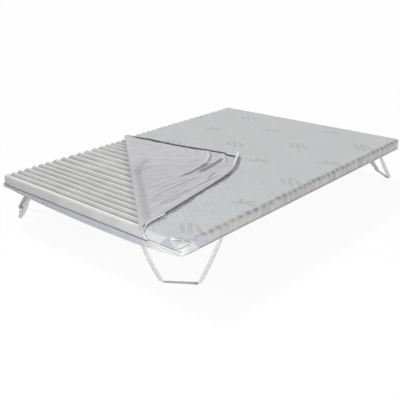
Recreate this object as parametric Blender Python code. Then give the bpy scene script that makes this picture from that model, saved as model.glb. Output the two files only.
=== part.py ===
# Cold foam mattress topper: a ribbed foam slab in a zipped knitted cover.
# One corner of the cover is unzipped and folded back over itself.
# Metres, +Z up. The origin is the centre of the flat underside, which rests on a mattress.
# +X runs across the width, +Y along the length. The open corner is at -X, -Y.

import math

import bmesh
import bpy
from mathutils import Vector

# Whole topper
WIDTH = 1.400
LENGTH = 2.000
HEIGHT = 0.060
CORNER_RADIUS = 0.030
GAP = 0.0003

# Cover cloth
KNIT_THICK = 0.0024
LINING_THICK = 0.0012
BOTTOM_THICK = 0.0022
EDGE_ROUND = 0.017
WALL_TUCK = 0.0012
HEM_HEIGHT = 0.0135
SCALLOP_DEPTH = 0.0014
BINDING_THICK = 0.0012
BINDING_HEIGHT = 0.0042

# Foam slab and its ribs, from the front edge to the middle
RIB_DEPTH = 0.0145
RIB_MARGIN = 0.0198
RIB_PITCH_END = 0.0474
RIB_PITCH_SHOULDER = 0.0594
RIB_PITCH_CENTRE = 0.0460
FOAM_END_ROUND = 0.0160
FOAM_CORNER_ROUND = 0.0300
FOAM_NOSE_TUCK = 0.0120
FOAM_NOSE_LOW = 0.0090
FOAM_END_BEVEL = 0.0050

# Zip
TAPE_THICK = 0.0012
TAPE_LIP = 0.0034
TEETH_THICK = 0.0020
TEETH_HEIGHT = 0.0012
ZIP_END_REACH = 0.0330
BAND_DROP = 0.0325
BAND_TOP = 0.0029
SLIDER_LENGTH = 0.0140
SLIDER_PLATE = 0.0010
SLIDER_BRIDGE = 0.0030
SLIDER_LEAD = 0.0240
PULL_LENGTH = 0.0260
PULL_WIDTH = 0.0060
PULL_THICK = 0.0012
STOP_LENGTH = 0.0040

# Folded-back corner of the cover
FOLD_FROM_FRONT = 0.950
FOLD_FROM_RIGHT = 0.253
ROLL_RADIUS = 0.0060
ROLL_RISE = 0.0160
FLAP_REST = 0.0066
FLAP_SAG = 0.0030
FOLD_FALL = 0.110
TIP_RISE = 0.0180
RIDGE_HEIGHT = 0.0090
RIDGE_WIDTH = 0.0260
HOLLOW_DEPTH = 0.0030
DENT_DEPTH = 0.0050
DENT_WIDTH = 0.0220
TUCK_HEIGHT = 0.0060
TUCK_WIDTH = 0.0180
WALL_FOLD_WIDTH = 0.0240
WALL_FOLD_SLACK = 0.0008
WALL_FOLD_BREAK = 0.0012
WALL_FOLD_START = 0.0680
FLAP_TAPE_WIDTH = 0.0080
CORNER_HEM_HEIGHT = 0.0050
CORNER_HEM_THICK = 0.0030
CURL_WIDTH = 0.0090
CURL_SHIFT = 0.0180

# Corner straps
STRAP_WIDTH = 0.0300
STRAP_THICK = 0.0015
STRAP_INSET = 0.0002
STRAP_DROP = 0.1720
STRAP_REACH_FRONT = 0.256
STRAP_REACH_SIDE = 0.244
STRAP_FOOT_FRONT = 0.134
STRAP_FOOT_SIDE = 0.095
TAB_DROP_FRONT = 0.0340
TAB_DROP_SIDE = 0.0150
TAB_CLEARANCE = 0.0036
TAB_GAP = 0.0003
TACK_HEIGHT = 0.0025
TACK_THICK = 0.0006

# Corner label: a ribbon and a plain patch over it
BADGE_THICK = 0.0008
RIBBON_REACH_FRONT = 0.154
RIBBON_REACH_SIDE = 0.150
PATCH_REACH_FRONT = 0.098
PATCH_REACH_SIDE = 0.098
BADGE_BOTTOM = 0.0180
PATCH_TOP_INSET = 0.0260

# Shares of the sizes above, and mesh steps
SMOOTH_DEGREES = 35
ARC_STEPS = 3
CORNER_STEPS = 4
RIB_SHOULDER_SHARE = 0.30
RIB_SHOULDER_DROP_SHARE = 0.24
RIB_COUNTS = (6, 7, 12, 7, 6)
SCALLOP_SHARES = (0.0, 0.8, 1.0, 0.5, 0.0)
FOAM_LIFT_SHARE = 0.5
BAND_PLACE_SHARES = (1.0, 0.82, 0.67, 0.40, 0.0, -0.42, -0.72, -0.96)
BAND_DROP_SHARES = (0.18, 0.58, 0.86, 1.0, 1.0, 0.86, 0.62, 0.31)
BORDER_SHARE = 0.52
FRONT_BEND_SHARE = 1.5
SIDE_BEND_SHARE = 1.15
FLAP_COLUMNS = 20
FLAP_ROWS = 9
ROW_POWER = 0.85
TIP_START_SHARE = 0.50
TIP_RUN_SHARE = 0.36
BLUNT_LEFT_SHARES = (0.399, 0.851)
BLUNT_RIGHT_SHARES = (0.553, 0.750)
BLUNT_SOFT_SHARE = 0.010
RIDGE_SHARES = ((0.600, 0.340), (0.440, 0.760))
SECOND_RIDGE_SHARES = ((0.555, 0.470), (0.462, 0.735))
DENT_SHARES = ((0.520, 0.075), (0.920, 0.040))
TUCK_SHARES = ((0.640, 0.520), (0.590, 0.600))
WALL_FOLD_STEPS = 12
TIP_STEPS = 5
STRAP_STEPS = 5
ROLL_STEPS = 4

LEFT_FOLD = Vector((-WIDTH / 2, -LENGTH / 2 + FOLD_FROM_FRONT))
FRONT_FOLD = Vector((WIDTH / 2 - FOLD_FROM_RIGHT, -LENGTH / 2))
OPEN_CORNER = Vector((-WIDTH / 2, -LENGTH / 2))
FOLD_SPAN = (FRONT_FOLD - LEFT_FOLD).length
FOLD_AXIS = (FRONT_FOLD - LEFT_FOLD).normalized()
FOLD_SIDE = Vector((-FOLD_AXIS.y, FOLD_AXIS.x))
TIP_ALONG = (OPEN_CORNER - LEFT_FOLD).dot(FOLD_AXIS)
TIP_OUT = -(OPEN_CORNER - LEFT_FOLD).dot(FOLD_SIDE)
LINING_DEPTH = KNIT_THICK + GAP
FOAM_DEPTH = LINING_DEPTH + LINING_THICK + GAP
FOAM_BOTTOM = BOTTOM_THICK + GAP
FOAM_TOP = HEIGHT - FOAM_DEPTH
SEAM_HEIGHT = GAP + BINDING_HEIGHT + GAP
ZIP_LOW = SEAM_HEIGHT
TEETH_LOW = ZIP_LOW + TAPE_LIP + GAP
TEETH_UP = TEETH_LOW + TEETH_HEIGHT + GAP
ZIP_UP = TEETH_UP + TEETH_HEIGHT + GAP


class Station:
    """A place on the outline: its point on the cover's outer face and its way inwards."""

    def __init__(self, point, inward, dip=0.0, coarse=True, sewn=False):
        self.point = Vector(point)
        self.inward = Vector(inward)
        self.dip = dip
        self.coarse = coarse
        self.sewn = sewn

    def at(self, inset, height):
        place = self.point + self.inward * inset
        return Vector((place.x, place.y, height))


def material(name, colour, roughness, metallic=0.0):
    """One Principled material."""
    made = bpy.data.materials.new(name)
    made.use_nodes = True
    shader = made.node_tree.nodes["Principled BSDF"]
    shader.inputs["Base Color"].default_value = (*colour, 1.0)
    shader.inputs["Roughness"].default_value = roughness
    shader.inputs["Metallic"].default_value = metallic
    return made


def add_object(name, verts, faces, look, flat=False):
    """A closed mesh object, its faces turned outwards."""
    mesh = bpy.data.meshes.new(name)
    mesh.from_pydata([tuple(v) for v in verts], [], faces)
    work = bmesh.new()
    work.from_mesh(mesh)
    bmesh.ops.recalc_face_normals(work, faces=work.faces)
    work.to_mesh(mesh)
    work.free()
    if not flat:
        mesh.shade_smooth()
        mesh.set_sharp_from_angle(angle=math.radians(SMOOTH_DEGREES))
    made = bpy.data.objects.new(name, mesh)
    bpy.context.collection.objects.link(made)
    mesh.materials.append(look)
    return made


def sweep(sections, closed=False):
    """Vertices and faces of a solid through like sections; a closed one has no ends."""
    count = len(sections[0])
    verts = [v for section in sections for v in section]
    faces = []
    last = len(sections) if closed else len(sections) - 1
    for i in range(last):
        here = i * count
        there = ((i + 1) % len(sections)) * count
        for j in range(count):
            k = (j + 1) % count
            faces.append((here + j, here + k, there + k, there + j))
    if not closed:
        faces.append(tuple(range(count)))
        faces.append(tuple(range(len(verts) - count, len(verts))))
    return verts, faces


def smooth_step(value):
    """0 below 0, 1 above 1 and an even curve between."""
    t = min(max(value, 0.0), 1.0)
    return t * t * (3 - 2 * t)


def arc_fall(radius, distance):
    """How far a round edge of this radius lies back at a distance in from the face."""
    short = min(max(radius - distance, 0.0), radius)
    return radius - math.sqrt(radius ** 2 - short ** 2)


def rib_places():
    """The places of crests and grooves along the length, as (y, is_crest)."""
    pitches = []
    zones = (RIB_PITCH_END, RIB_PITCH_SHOULDER, RIB_PITCH_CENTRE, RIB_PITCH_SHOULDER, RIB_PITCH_END)
    for pitch, count in zip(zones, RIB_COUNTS):
        pitches.extend([pitch] * count)
    room = LENGTH - 2 * (FOAM_DEPTH + RIB_MARGIN)
    stretch = room / sum(pitches)
    y = -room / 2
    places = [(y, True)]
    for pitch in pitches:
        places.append((y + pitch * stretch / 2, False))
        y += pitch * stretch
        places.append((y, True))
    return places


def corner_stations(sign_x, sign_y, start, sewn=False):
    """The stations round one corner of the outline."""
    centre = Vector((sign_x * (WIDTH / 2 - CORNER_RADIUS), sign_y * (LENGTH / 2 - CORNER_RADIUS)))
    made = []
    for step in range(CORNER_STEPS + 1):
        angle = math.radians(start + 90 * step / CORNER_STEPS)
        away = Vector((math.cos(angle), math.sin(angle)))
        made.append(Station(centre + away * CORNER_RADIUS, -away, sewn=sewn and step > 0))
    return made


def rib_stations(sign_x, y_from, y_to, sewn=False):
    """Stations at crests and grooves along one long side, in the order of travel."""
    low, high = min(y_from, y_to), max(y_from, y_to)
    places = [p for p in rib_places() if low + CORNER_RADIUS / 2 < p[0] < high - CORNER_RADIUS / 2]
    if y_to < y_from:
        places.reverse()
    return [Station((sign_x * WIDTH / 2, y), (-sign_x, 0), 0.0 if crest else 1.0, False, sewn)
            for y, crest in places]


def closed_outline():
    """The outline of the closed cover, from the front end of the fold round to its left end."""
    front_in = -FOLD_AXIS / -FOLD_AXIS.y
    left_in = FOLD_AXIS / FOLD_AXIS.x
    straight = LENGTH / 2 - CORNER_RADIUS
    near = corner_stations(1, -1, -90, sewn=True)
    right = rib_stations(1, -straight, straight, sewn=True)
    back_right = corner_stations(1, 1, 0)
    back_right[0].sewn = True
    far = corner_stations(-1, 1, 90)
    left = rib_stations(-1, straight, LEFT_FOLD.y)
    return ([Station(FRONT_FOLD, front_in)] + near + right + back_right + far + left
            + [Station(LEFT_FOLD, left_in)])


def open_corner():
    """The stations round the open corner, from the left side to the front."""
    return corner_stations(-1, -1, 180)


def cloth_rows(depth):
    """The cover's section at a depth under its outer face: (inset, height, is_bottom) rows."""
    rows = []
    for step in range(ARC_STEPS + 1):
        angle = math.radians(90 - 90 * step / ARC_STEPS)
        inset = EDGE_ROUND - (EDGE_ROUND - depth) * math.cos(angle)
        height = HEIGHT - EDGE_ROUND + (EDGE_ROUND - depth) * math.sin(angle)
        rows.append((inset, height, False))
    rows.append((depth + WALL_TUCK, HEM_HEIGHT, True))
    return rows


def cover_point(station, rows, row, dips):
    """One vertex of the cover's shell at a station."""
    inset, height, bottom = rows[row]
    if bottom and station.sewn:
        height = SEAM_HEIGHT
    if dips:
        dip = station.dip * SCALLOP_SHARES[row] * SCALLOP_DEPTH
        inset += dip
        height -= dip
    return station.at(inset, height)


def cover_shell(name, depth, thick, look):
    """A closed cloth layer over the top and down the walls, cut off along the fold."""
    dips = depth == 0
    fine = closed_outline() if dips else [s for s in closed_outline() if s.coarse]
    coarse = [i for i, s in enumerate(fine) if s.coarse]
    outer, inner = cloth_rows(depth), cloth_rows(depth + thick)
    last_row = len(outer) - 1
    verts, faces = [], []
    out_at, in_at = {}, {}
    for i, station in enumerate(fine):
        for row in range(last_row + 1):
            out_at[i, row] = len(verts)
            verts.append(cover_point(station, outer, row, dips))
    for i in coarse:
        for row in range(last_row + 1):
            in_at[i, row] = len(verts)
            verts.append(cover_point(fine[i], inner, row, False))
    for i in range(len(fine) - 1):
        for row in range(last_row):
            faces.append((out_at[i, row], out_at[i, row + 1], out_at[i + 1, row + 1], out_at[i + 1, row]))
    for i, j in zip(coarse, coarse[1:]):
        for row in range(last_row):
            faces.append((in_at[i, row], in_at[j, row], in_at[j, row + 1], in_at[i, row + 1]))
        rim = [out_at[k, last_row] for k in range(i, j + 1)]
        faces.append(tuple(rim + [in_at[j, last_row], in_at[i, last_row]]))
    faces.append(tuple(out_at[i, 0] for i in range(len(fine))))
    faces.append(tuple(in_at[i, 0] for i in reversed(coarse)))
    end = len(fine) - 1
    rising = range(last_row, -1, -1)
    falling = range(last_row + 1)
    edge = [out_at[0, r] for r in rising] + [out_at[end, r] for r in falling]
    edge += [in_at[end, r] for r in rising] + [in_at[0, r] for r in falling]
    faces.append(tuple(edge))
    return add_object(name, verts, faces, look)


def foam_core(look):
    """The foam slab: ribs across the width, a rounded nose at each end of the length."""
    half = LENGTH / 2 - FOAM_DEPTH
    groove = FOAM_TOP - RIB_DEPTH
    shoulder = FOAM_TOP - RIB_DEPTH * RIB_SHOULDER_DROP_SHARE
    places = rib_places()
    nose = [(-half + FOAM_NOSE_TUCK, FOAM_BOTTOM), (-half + WALL_TUCK, FOAM_BOTTOM + FOAM_NOSE_LOW),
            (-half, HEIGHT - EDGE_ROUND)]
    profile = list(nose)
    for i, (y, crest) in enumerate(places):
        if not crest:
            profile.append((y, groove))
            continue
        before = y - places[i - 1][0] if i else RIB_MARGIN
        after = places[i + 1][0] - y if i + 1 < len(places) else RIB_MARGIN
        profile.append((y - before * 2 * RIB_SHOULDER_SHARE, shoulder))
        profile.append((y, FOAM_TOP))
        profile.append((y + after * 2 * RIB_SHOULDER_SHARE, shoulder))
    profile += [(-y, z) for y, z in reversed(nose)]

    side = WIDTH / 2 - FOAM_DEPTH - WALL_TUCK
    nose_run = RIB_MARGIN + RIB_PITCH_END
    ends = ((FOAM_CORNER_ROUND, 0.0), (FOAM_END_BEVEL, FOAM_LIFT_SHARE), (0.0, 1.0))
    sections = []
    for sign in (-1, 1):
        made = []
        for from_end, lift_share in ends:
            lower = arc_fall(FOAM_END_ROUND, from_end)
            pull = arc_fall(FOAM_CORNER_ROUND, from_end)
            section = []
            for y, z in profile:
                height = min(z, FOAM_TOP - lower)
                height = max(height, FOAM_BOTTOM + FOAM_NOSE_LOW * lift_share)
                share = max(abs(y) - (half - nose_run), 0) / nose_run
                place = math.copysign(abs(y) - pull * share, y)
                section.append(Vector((sign * (side - from_end), place, height)))
            made.append(section)
        sections += reversed(made) if sign < 0 else made
    verts, faces = sweep(sections)
    return add_object("foam_core", verts, faces, look)


def full_outline():
    """The whole outline, coarse, counter-clockwise from the near corner."""
    return (corner_stations(1, -1, -90) + corner_stations(1, 1, 0)
            + corner_stations(-1, 1, 90) + open_corner())


def bottom_panel(look):
    """The flat underside cloth."""
    inset = BINDING_THICK + GAP
    ring = full_outline()
    lower = [s.at(inset, 0.0) for s in ring]
    upper = [s.at(inset, BOTTOM_THICK) for s in ring]
    verts, faces = sweep([lower, upper])
    return add_object("cover_bottom_panel", verts, faces, look)


def bottom_binding(look):
    """The narrow binding round the underside's edge."""
    low, high = GAP, GAP + BINDING_HEIGHT
    sections = []
    for station in full_outline():
        sections.append([station.at(0.0, low), station.at(BINDING_THICK, low),
                         station.at(BINDING_THICK, high), station.at(0.0, high)])
    verts, faces = sweep(sections, closed=True)
    return add_object("cover_bottom_binding", verts, faces, look)


def front_station(x):
    """A plain station on the front side."""
    return Station((x, -LENGTH / 2), (0, 1))


def left_station(y):
    """A plain station on the left side."""
    return Station((-WIDTH / 2, y), (1, 0))


def back_station(x):
    """A plain station on the back side."""
    return Station((x, LENGTH / 2), (0, -1))


def slider_start():
    """The end of the closed zip on the left side, where the slider is parked."""
    return LEFT_FOLD.y + SLIDER_LEAD


def open_band_paths():
    """Stations along the open zip edge with the depth that its band hangs to: front, corner and side."""
    reach = WIDTH / 2 - ZIP_END_REACH
    front = [(front_station(reach * place), BAND_DROP * drop)
             for place, drop in zip(BAND_PLACE_SHARES, BAND_DROP_SHARES)]
    side_drop = BAND_DROP * BAND_DROP_SHARES[-1]
    corner = [(station, side_drop) for station in reversed(open_corner())]
    side = [(left_station(-LENGTH / 2 + CORNER_RADIUS + STRAP_REACH_SIDE), side_drop),
            (left_station(LEFT_FOLD.y - SLIDER_LENGTH), BAND_DROP * BAND_DROP_SHARES[0])]
    return front, corner, side


def closed_zip_path():
    """Stations along the closed zip, from the slider round the back."""
    reach = WIDTH / 2 - ZIP_END_REACH
    straight = LENGTH / 2 - CORNER_RADIUS
    corner = list(reversed(corner_stations(-1, 1, 90)))
    return [left_station(slider_start()), left_station(straight / 2)] + corner + [back_station(0.0),
                                                                                back_station(reach)]


def front_zip_path():
    """Stations along the front hem, from its end near the right corner to the curl at the fold."""
    return [front_station(WIDTH / 2 - ZIP_END_REACH), front_station(FRONT_FOLD.x + EDGE_ROUND + CURL_SHIFT)]


def ribbon(path, out, inner, low, high):
    """A thin band along stations; the heights may be numbers or follow each station's drop."""
    sections = []
    for item in path:
        station, drop = item if isinstance(item, tuple) else (item, 0.0)
        bottom = low(drop) if callable(low) else low
        top = high(drop) if callable(high) else high
        sections.append([station.at(out, bottom), station.at(inner, bottom),
                         station.at(inner, top), station.at(out, top)])
    return sweep(sections)


def open_band(cloth, tape, teeth):
    """The slack border of the underside, its zip tape and its teeth, hanging where the zip is open."""
    front, corner, side = open_band_paths()
    path = front + corner + side
    side_drop = corner[0][1]
    outer = -GAP - TAPE_THICK
    teeth_out = -GAP - (TAPE_THICK + TEETH_THICK) / 2
    teeth_in = -GAP - GAP / 2

    def middle(drop):
        return BAND_TOP - (drop + BAND_TOP) * BORDER_SHARE

    front_end = (front_station(-WIDTH / 2 + CORNER_RADIUS + GAP), side_drop)
    side_end = (left_station(-LENGTH / 2 + CORNER_RADIUS + GAP), side_drop)
    for word, run in (("front", front + [front_end]), ("corner", corner), ("side", [side_end] + side)):
        verts, faces = ribbon(run, outer, -GAP, lambda d: middle(d) + GAP / 2, BAND_TOP)
        add_object("cover_bottom_border_" + word, verts, faces, cloth)
    verts, faces = ribbon(path, outer, -GAP, lambda d: TEETH_HEIGHT + GAP - d, lambda d: middle(d) - GAP / 2)
    add_object("zip_tape_lower_open", verts, faces, tape)
    verts, faces = ribbon(path, teeth_out, teeth_in, lambda d: -d, lambda d: TEETH_HEIGHT - d)
    add_object("zip_teeth_lower_open", verts, faces, teeth)


def closed_zip(tape, teeth):
    """The tapes and teeth of the closed zip in the wall, and the hem tape of the front."""
    back = closed_zip_path()
    front = front_zip_path()
    tooth_out = (TAPE_THICK - TEETH_THICK) / 2
    tooth_in = tooth_out + TEETH_THICK
    verts, faces = ribbon(back, 0.0, TAPE_THICK, ZIP_LOW, ZIP_LOW + TAPE_LIP)
    add_object("zip_tape_lower_closed", verts, faces, tape)
    verts, faces = ribbon(back, tooth_out, tooth_in, TEETH_LOW, TEETH_LOW + TEETH_HEIGHT)
    add_object("zip_teeth_lower_closed", verts, faces, teeth)
    for word, path in (("back", back), ("front", front)):
        verts, faces = ribbon(path, 0.0, TAPE_THICK, ZIP_UP, HEM_HEIGHT - GAP)
        add_object("zip_tape_upper_" + word, verts, faces, tape)
        verts, faces = ribbon(path, tooth_out, tooth_in, TEETH_UP, TEETH_UP + TEETH_HEIGHT)
        add_object("zip_teeth_upper_" + word, verts, faces, teeth)


def box(low, high):
    """Vertices and faces of a plain block between two corners."""
    xs, ys, zs = zip(low, high)
    lower = [Vector((xs[0], ys[0], zs[0])), Vector((xs[1], ys[0], zs[0])),
             Vector((xs[1], ys[1], zs[0])), Vector((xs[0], ys[1], zs[0]))]
    upper = [Vector((v.x, v.y, zs[1])) for v in lower]
    return sweep([lower, upper])


def zip_hardware(metal):
    """The slider with its pull tab, and the stops at the two ends of the zip."""
    face = -WIDTH / 2
    y_end = slider_start() - GAP
    y_start = y_end - SLIDER_LENGTH
    low, high = ZIP_LOW + GAP, HEM_HEIGHT - GAP
    tooth_out = (TEETH_THICK - TAPE_THICK) / 2
    plate_in = face - tooth_out - GAP
    back_face = face + TAPE_THICK + tooth_out + GAP
    profile = [(plate_in - SLIDER_PLATE, y_start), (back_face + SLIDER_PLATE, y_start),
               (back_face + SLIDER_PLATE, y_end), (back_face, y_end),
               (back_face, y_start + SLIDER_BRIDGE), (plate_in, y_start + SLIDER_BRIDGE),
               (plate_in, y_end), (plate_in - SLIDER_PLATE, y_end)]
    verts, faces = sweep([[Vector((x, y, z)) for x, y in profile] for z in (low, high)])
    add_object("zip_slider", verts, faces, metal)

    pin = plate_in - SLIDER_PLATE - GAP - PULL_THICK
    middle = (low + high) / 2
    near = y_start + SLIDER_PLATE
    verts, faces = box((pin, near, middle - PULL_WIDTH / 2), (pin + PULL_THICK, near + PULL_LENGTH,
                                                                middle + PULL_WIDTH / 2))
    tab = add_object("zip_pull_tab", verts, faces, metal, flat=True)
    pivot = Vector((pin + PULL_THICK / 2, near + PULL_THICK / 2, middle))
    for vertex in tab.data.vertices:
        vertex.co -= pivot
    tab.location = pivot

    reach = WIDTH / 2 - ZIP_END_REACH
    for word, y_face, sign in (("front", -LENGTH / 2, 1), ("back", LENGTH / 2, -1)):
        ends = sorted((y_face - sign * GAP, y_face + sign * (TAPE_THICK + GAP)))
        verts, faces = box((reach + GAP, ends[0], TEETH_LOW),
                           (reach + GAP + STOP_LENGTH, ends[1], TEETH_UP + TEETH_HEIGHT))
        add_object("zip_end_stop_" + word, verts, faces, metal, flat=True)


def fold_place(along, out, height):
    """A point from its place along the fold, its distance out over the cover and its height."""
    place = LEFT_FOLD + FOLD_AXIS * along + FOLD_SIDE * out
    return Vector((place.x, place.y, height))


def flap_reach(along):
    """How far the folded corner reaches out from the fold, blunt at the tip."""
    left = along * TIP_OUT / TIP_ALONG
    right = (FOLD_SPAN - along) * TIP_OUT / (FOLD_SPAN - TIP_ALONG)
    x0, y0 = BLUNT_LEFT_SHARES[0] * FOLD_SPAN, BLUNT_LEFT_SHARES[1] * TIP_OUT
    x1, y1 = BLUNT_RIGHT_SHARES[0] * FOLD_SPAN, BLUNT_RIGHT_SHARES[1] * TIP_OUT
    blunt = y0 + (along - x0) * (y1 - y0) / (x1 - x0)
    soft = BLUNT_SOFT_SHARE * FOLD_SPAN
    least = min(left, right, blunt)
    return least - soft * math.log(sum(math.exp((least - v) / soft) for v in (left, right, blunt)))


def bump(along, out, ends, height, width):
    """A long soft ridge between two places given as shares of the flap's span and reach."""
    start = Vector((ends[0][0] * FOLD_SPAN, ends[0][1] * TIP_OUT))
    stop = Vector((ends[1][0] * FOLD_SPAN, ends[1][1] * TIP_OUT))
    here = Vector((along, out)) - start
    run = stop - start
    share = min(max(here.dot(run) / run.length_squared, 0.0), 1.0)
    away = (here - run * share).length
    return height * math.exp(-(away / width) ** 2)


def flap_lift(along, out):
    """The height of the flap's lower face over the closed cover."""
    reach = flap_reach(along)
    near_edge = 1 - smooth_step((reach - out) / (WALL_FOLD_WIDTH * 2))
    fall = 1 - smooth_step(out / FOLD_FALL)
    tip = smooth_step((out / TIP_OUT - TIP_START_SHARE) / TIP_RUN_SHARE)
    lift = FLAP_REST + (2 * ROLL_RADIUS - FLAP_REST) * fall
    lift -= FLAP_SAG * (1 - near_edge) * (1 - fall)
    lift += TIP_RISE * tip
    free = smooth_step(out / DENT_WIDTH) * smooth_step((reach - out) / RIDGE_WIDTH)
    lift += free * bump(along, out, RIDGE_SHARES, RIDGE_HEIGHT, RIDGE_WIDTH)
    lift += free * bump(along, out, SECOND_RIDGE_SHARES, -HOLLOW_DEPTH, RIDGE_WIDTH)
    lift += free * bump(along, out, TUCK_SHARES, TUCK_HEIGHT, TUCK_WIDTH)
    lift += free * bump(along, out, DENT_SHARES, -DENT_DEPTH, DENT_WIDTH)
    return lift


def flap_columns():
    """Places along the fold where the flap's mesh has a column, closer round the blunt tip."""
    margin = EDGE_ROUND / FOLD_AXIS.x
    soft = BLUNT_SOFT_SHARE * FOLD_SPAN
    places = []
    for corner_share in (BLUNT_LEFT_SHARES[0], BLUNT_RIGHT_SHARES[0]):
        places += [corner_share * FOLD_SPAN + step * soft for step in (-2, -1, 0, 1, 2)]
    close = list(places)
    for i in range(FLAP_COLUMNS + 1):
        place = margin + (FOLD_SPAN - 2 * margin) * i / FLAP_COLUMNS
        if all(abs(place - other) > soft for other in close):
            places.append(place)
    return sorted(places)


def edge_drop(along, out):
    """How far the cover's rounded top edge falls away under a place on the fold."""
    place = fold_place(along, out, 0.0)
    return arc_fall(EDGE_ROUND, min(place.x + WIDTH / 2, place.y + LENGTH / 2))


def flap_layer(name, under, thick, look):
    """One cloth layer of the folded corner."""
    columns = flap_columns()
    verts, faces = [], []
    index = {}
    for side, offset in ((0, under), (1, under + thick)):
        for i, along in enumerate(columns):
            reach = flap_reach(along)
            for j in range(FLAP_ROWS + 1):
                out = GAP + (reach - GAP) * (j / FLAP_ROWS) ** ROW_POWER
                height = HEIGHT + flap_lift(along, out) + offset
                index[side, i, j] = len(verts)
                verts.append(fold_place(along, out, height))
    last_i, last_j = len(columns) - 1, FLAP_ROWS
    for i in range(last_i):
        for j in range(last_j):
            faces.append((index[1, i, j], index[1, i + 1, j], index[1, i + 1, j + 1], index[1, i, j + 1]))
            faces.append((index[0, i, j], index[0, i, j + 1], index[0, i + 1, j + 1], index[0, i + 1, j]))
        for j in (0, last_j):
            faces.append((index[0, i, j], index[0, i + 1, j], index[1, i + 1, j], index[1, i, j]))
    for j in range(last_j):
        for i in (0, last_i):
            faces.append((index[0, i, j], index[0, i, j + 1], index[1, i, j + 1], index[1, i, j]))
    return add_object(name, verts, faces, look)


def fold_roll(name, inner, thick, look):
    """One cloth layer of the half-round roll that joins the closed cover to the flap."""
    margin = EDGE_ROUND / 2 / -FOLD_AXIS.y
    rise = margin + ROLL_RISE
    outwards = range(ROLL_STEPS * 2 + 1)
    sections = []
    for along in (margin, rise, FOLD_SPAN / 2, FOLD_SPAN - rise, FOLD_SPAN - margin):
        centre = HEIGHT + ROLL_RADIUS - edge_drop(along, 0.0)
        section = []
        for radius, order in ((inner + thick, outwards), (inner, reversed(outwards))):
            for step in order:
                angle = math.radians(-90 - 90 * step / ROLL_STEPS)
                out = -GAP + radius * math.cos(angle)
                section.append(fold_place(along, out, centre + radius * math.sin(angle)))
        sections.append(section)
    verts, faces = sweep(sections)
    return add_object(name, verts, faces, look)


def flap_edge(start, stop, steps):
    """Places on the flap's free edge with the way inwards over the flap."""
    places = []
    for i in range(steps + 1):
        along = start + (stop - start) * i / steps
        slope = (flap_reach(along + GAP) - flap_reach(along - GAP)) / (2 * GAP)
        inward = Vector((slope, -1.0)).normalized()
        places.append((Vector((along, flap_reach(along))), inward))
    return places


def edge_strip(places, out, inner, low, high):
    """A band along the flap's edge from one inset to another, between two heights."""
    sections = []
    for place, inward in places:
        section = []
        for inset, level in ((out, low), (inner, low), (inner, high), (out, high)):
            spot = place + inward * inset
            height = level(spot.x, spot.y) if callable(level) else level
            section.append(fold_place(spot.x, spot.y, height))
        sections.append(section)
    return sweep(sections)


def under_flap(along, out):
    """The height just below the flap's lower face, as low as that face gets close by."""
    lifts = []
    for shift in (-WALL_FOLD_WIDTH, 0.0, WALL_FOLD_WIDTH):
        place = along + shift
        lifts.append(flap_lift(place, min(out, flap_reach(place))))
    return HEIGHT + min(lifts) - WALL_FOLD_SLACK


def flap_edges(cloth, tape, teeth):
    """The tucked-under walls of the folded corner, its zip tapes and teeth, and the corner hem."""
    tip_start, tip_stop = BLUNT_LEFT_SHARES[0] * FOLD_SPAN, BLUNT_RIGHT_SHARES[0] * FOLD_SPAN
    spans = {"side": (WALL_FOLD_START, tip_start - WALL_FOLD_BREAK, WALL_FOLD_STEPS),
             "tip": (tip_start, tip_stop, TIP_STEPS),
             "front": (tip_stop + WALL_FOLD_BREAK, FOLD_SPAN - WALL_FOLD_START, WALL_FOLD_STEPS)}
    floor = HEIGHT + 2 * GAP
    for word, (start, stop, steps) in spans.items():
        verts, faces = edge_strip(flap_edge(start, stop, steps), GAP, WALL_FOLD_WIDTH, floor, under_flap)
        add_object("flap_wall_" + word, verts, faces, cloth)
    level = HEIGHT + FLAP_REST / 2
    tape_out = -FLAP_TAPE_WIDTH
    tooth = (TEETH_THICK - TAPE_THICK) / 2
    for word in ("side", "front"):
        places = flap_edge(*spans[word])
        verts, faces = edge_strip(places, tape_out, 0.0, level - TAPE_THICK / 2, level + TAPE_THICK / 2)
        add_object("flap_zip_tape_" + word, verts, faces, tape)
        verts, faces = edge_strip(places, tape_out - GAP - TEETH_HEIGHT, tape_out - GAP,
                                  level - TAPE_THICK / 2 - tooth, level + TAPE_THICK / 2 + tooth)
        add_object("flap_zip_teeth_" + word, verts, faces, teeth)

    def hem_low(along, out):
        return HEIGHT + flap_lift(along, min(out, flap_reach(along))) + LINING_DEPTH + LINING_THICK + GAP

    def hem_high(along, out):
        return hem_low(along, out) + CORNER_HEM_HEIGHT

    verts, faces = edge_strip(flap_edge(*spans["tip"]), GAP, CORNER_HEM_THICK, hem_low, hem_high)
    add_object("flap_corner_hem", verts, faces, tape)


def curl(station_at):
    """The hem tape that climbs from the wall over the top edge at one end of the fold."""
    out = -GAP
    arc = []
    for step in range(ARC_STEPS + 1):
        angle = math.radians(90 * step / ARC_STEPS)
        radius = EDGE_ROUND - out
        arc.append((EDGE_ROUND - radius * math.cos(angle), HEIGHT - EDGE_ROUND + radius * math.sin(angle)))
    points = [(out, HEM_HEIGHT)] + arc
    sections = []
    for i, (inset, height) in enumerate(points):
        share = i / (len(points) - 1)
        shift = EDGE_ROUND + CURL_SHIFT * (1 - share) ** 2
        angle = 0.0 if i == 0 else math.radians(90 * (i - 1) / ARC_STEPS)
        section = []
        for side, lift in ((0, 0), (1, 0), (1, 1), (0, 1)):
            station = station_at(shift + side * CURL_WIDTH)
            section.append(station.at(inset - lift * TAPE_THICK * math.cos(angle),
                                      height + lift * TAPE_THICK * math.sin(angle)))
        sections.append(section)
    return sweep(sections)


def hem_curls(tape):
    """The two hem tapes that curl up at the ends of the fold."""
    front = curl(lambda shift: front_station(FRONT_FOLD.x + shift))
    left = curl(lambda shift: left_station(LEFT_FOLD.y + shift))
    for word, (verts, faces) in (("front", front), ("side", left)):
        add_object("zip_tape_curl_" + word, verts, faces, tape)


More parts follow.
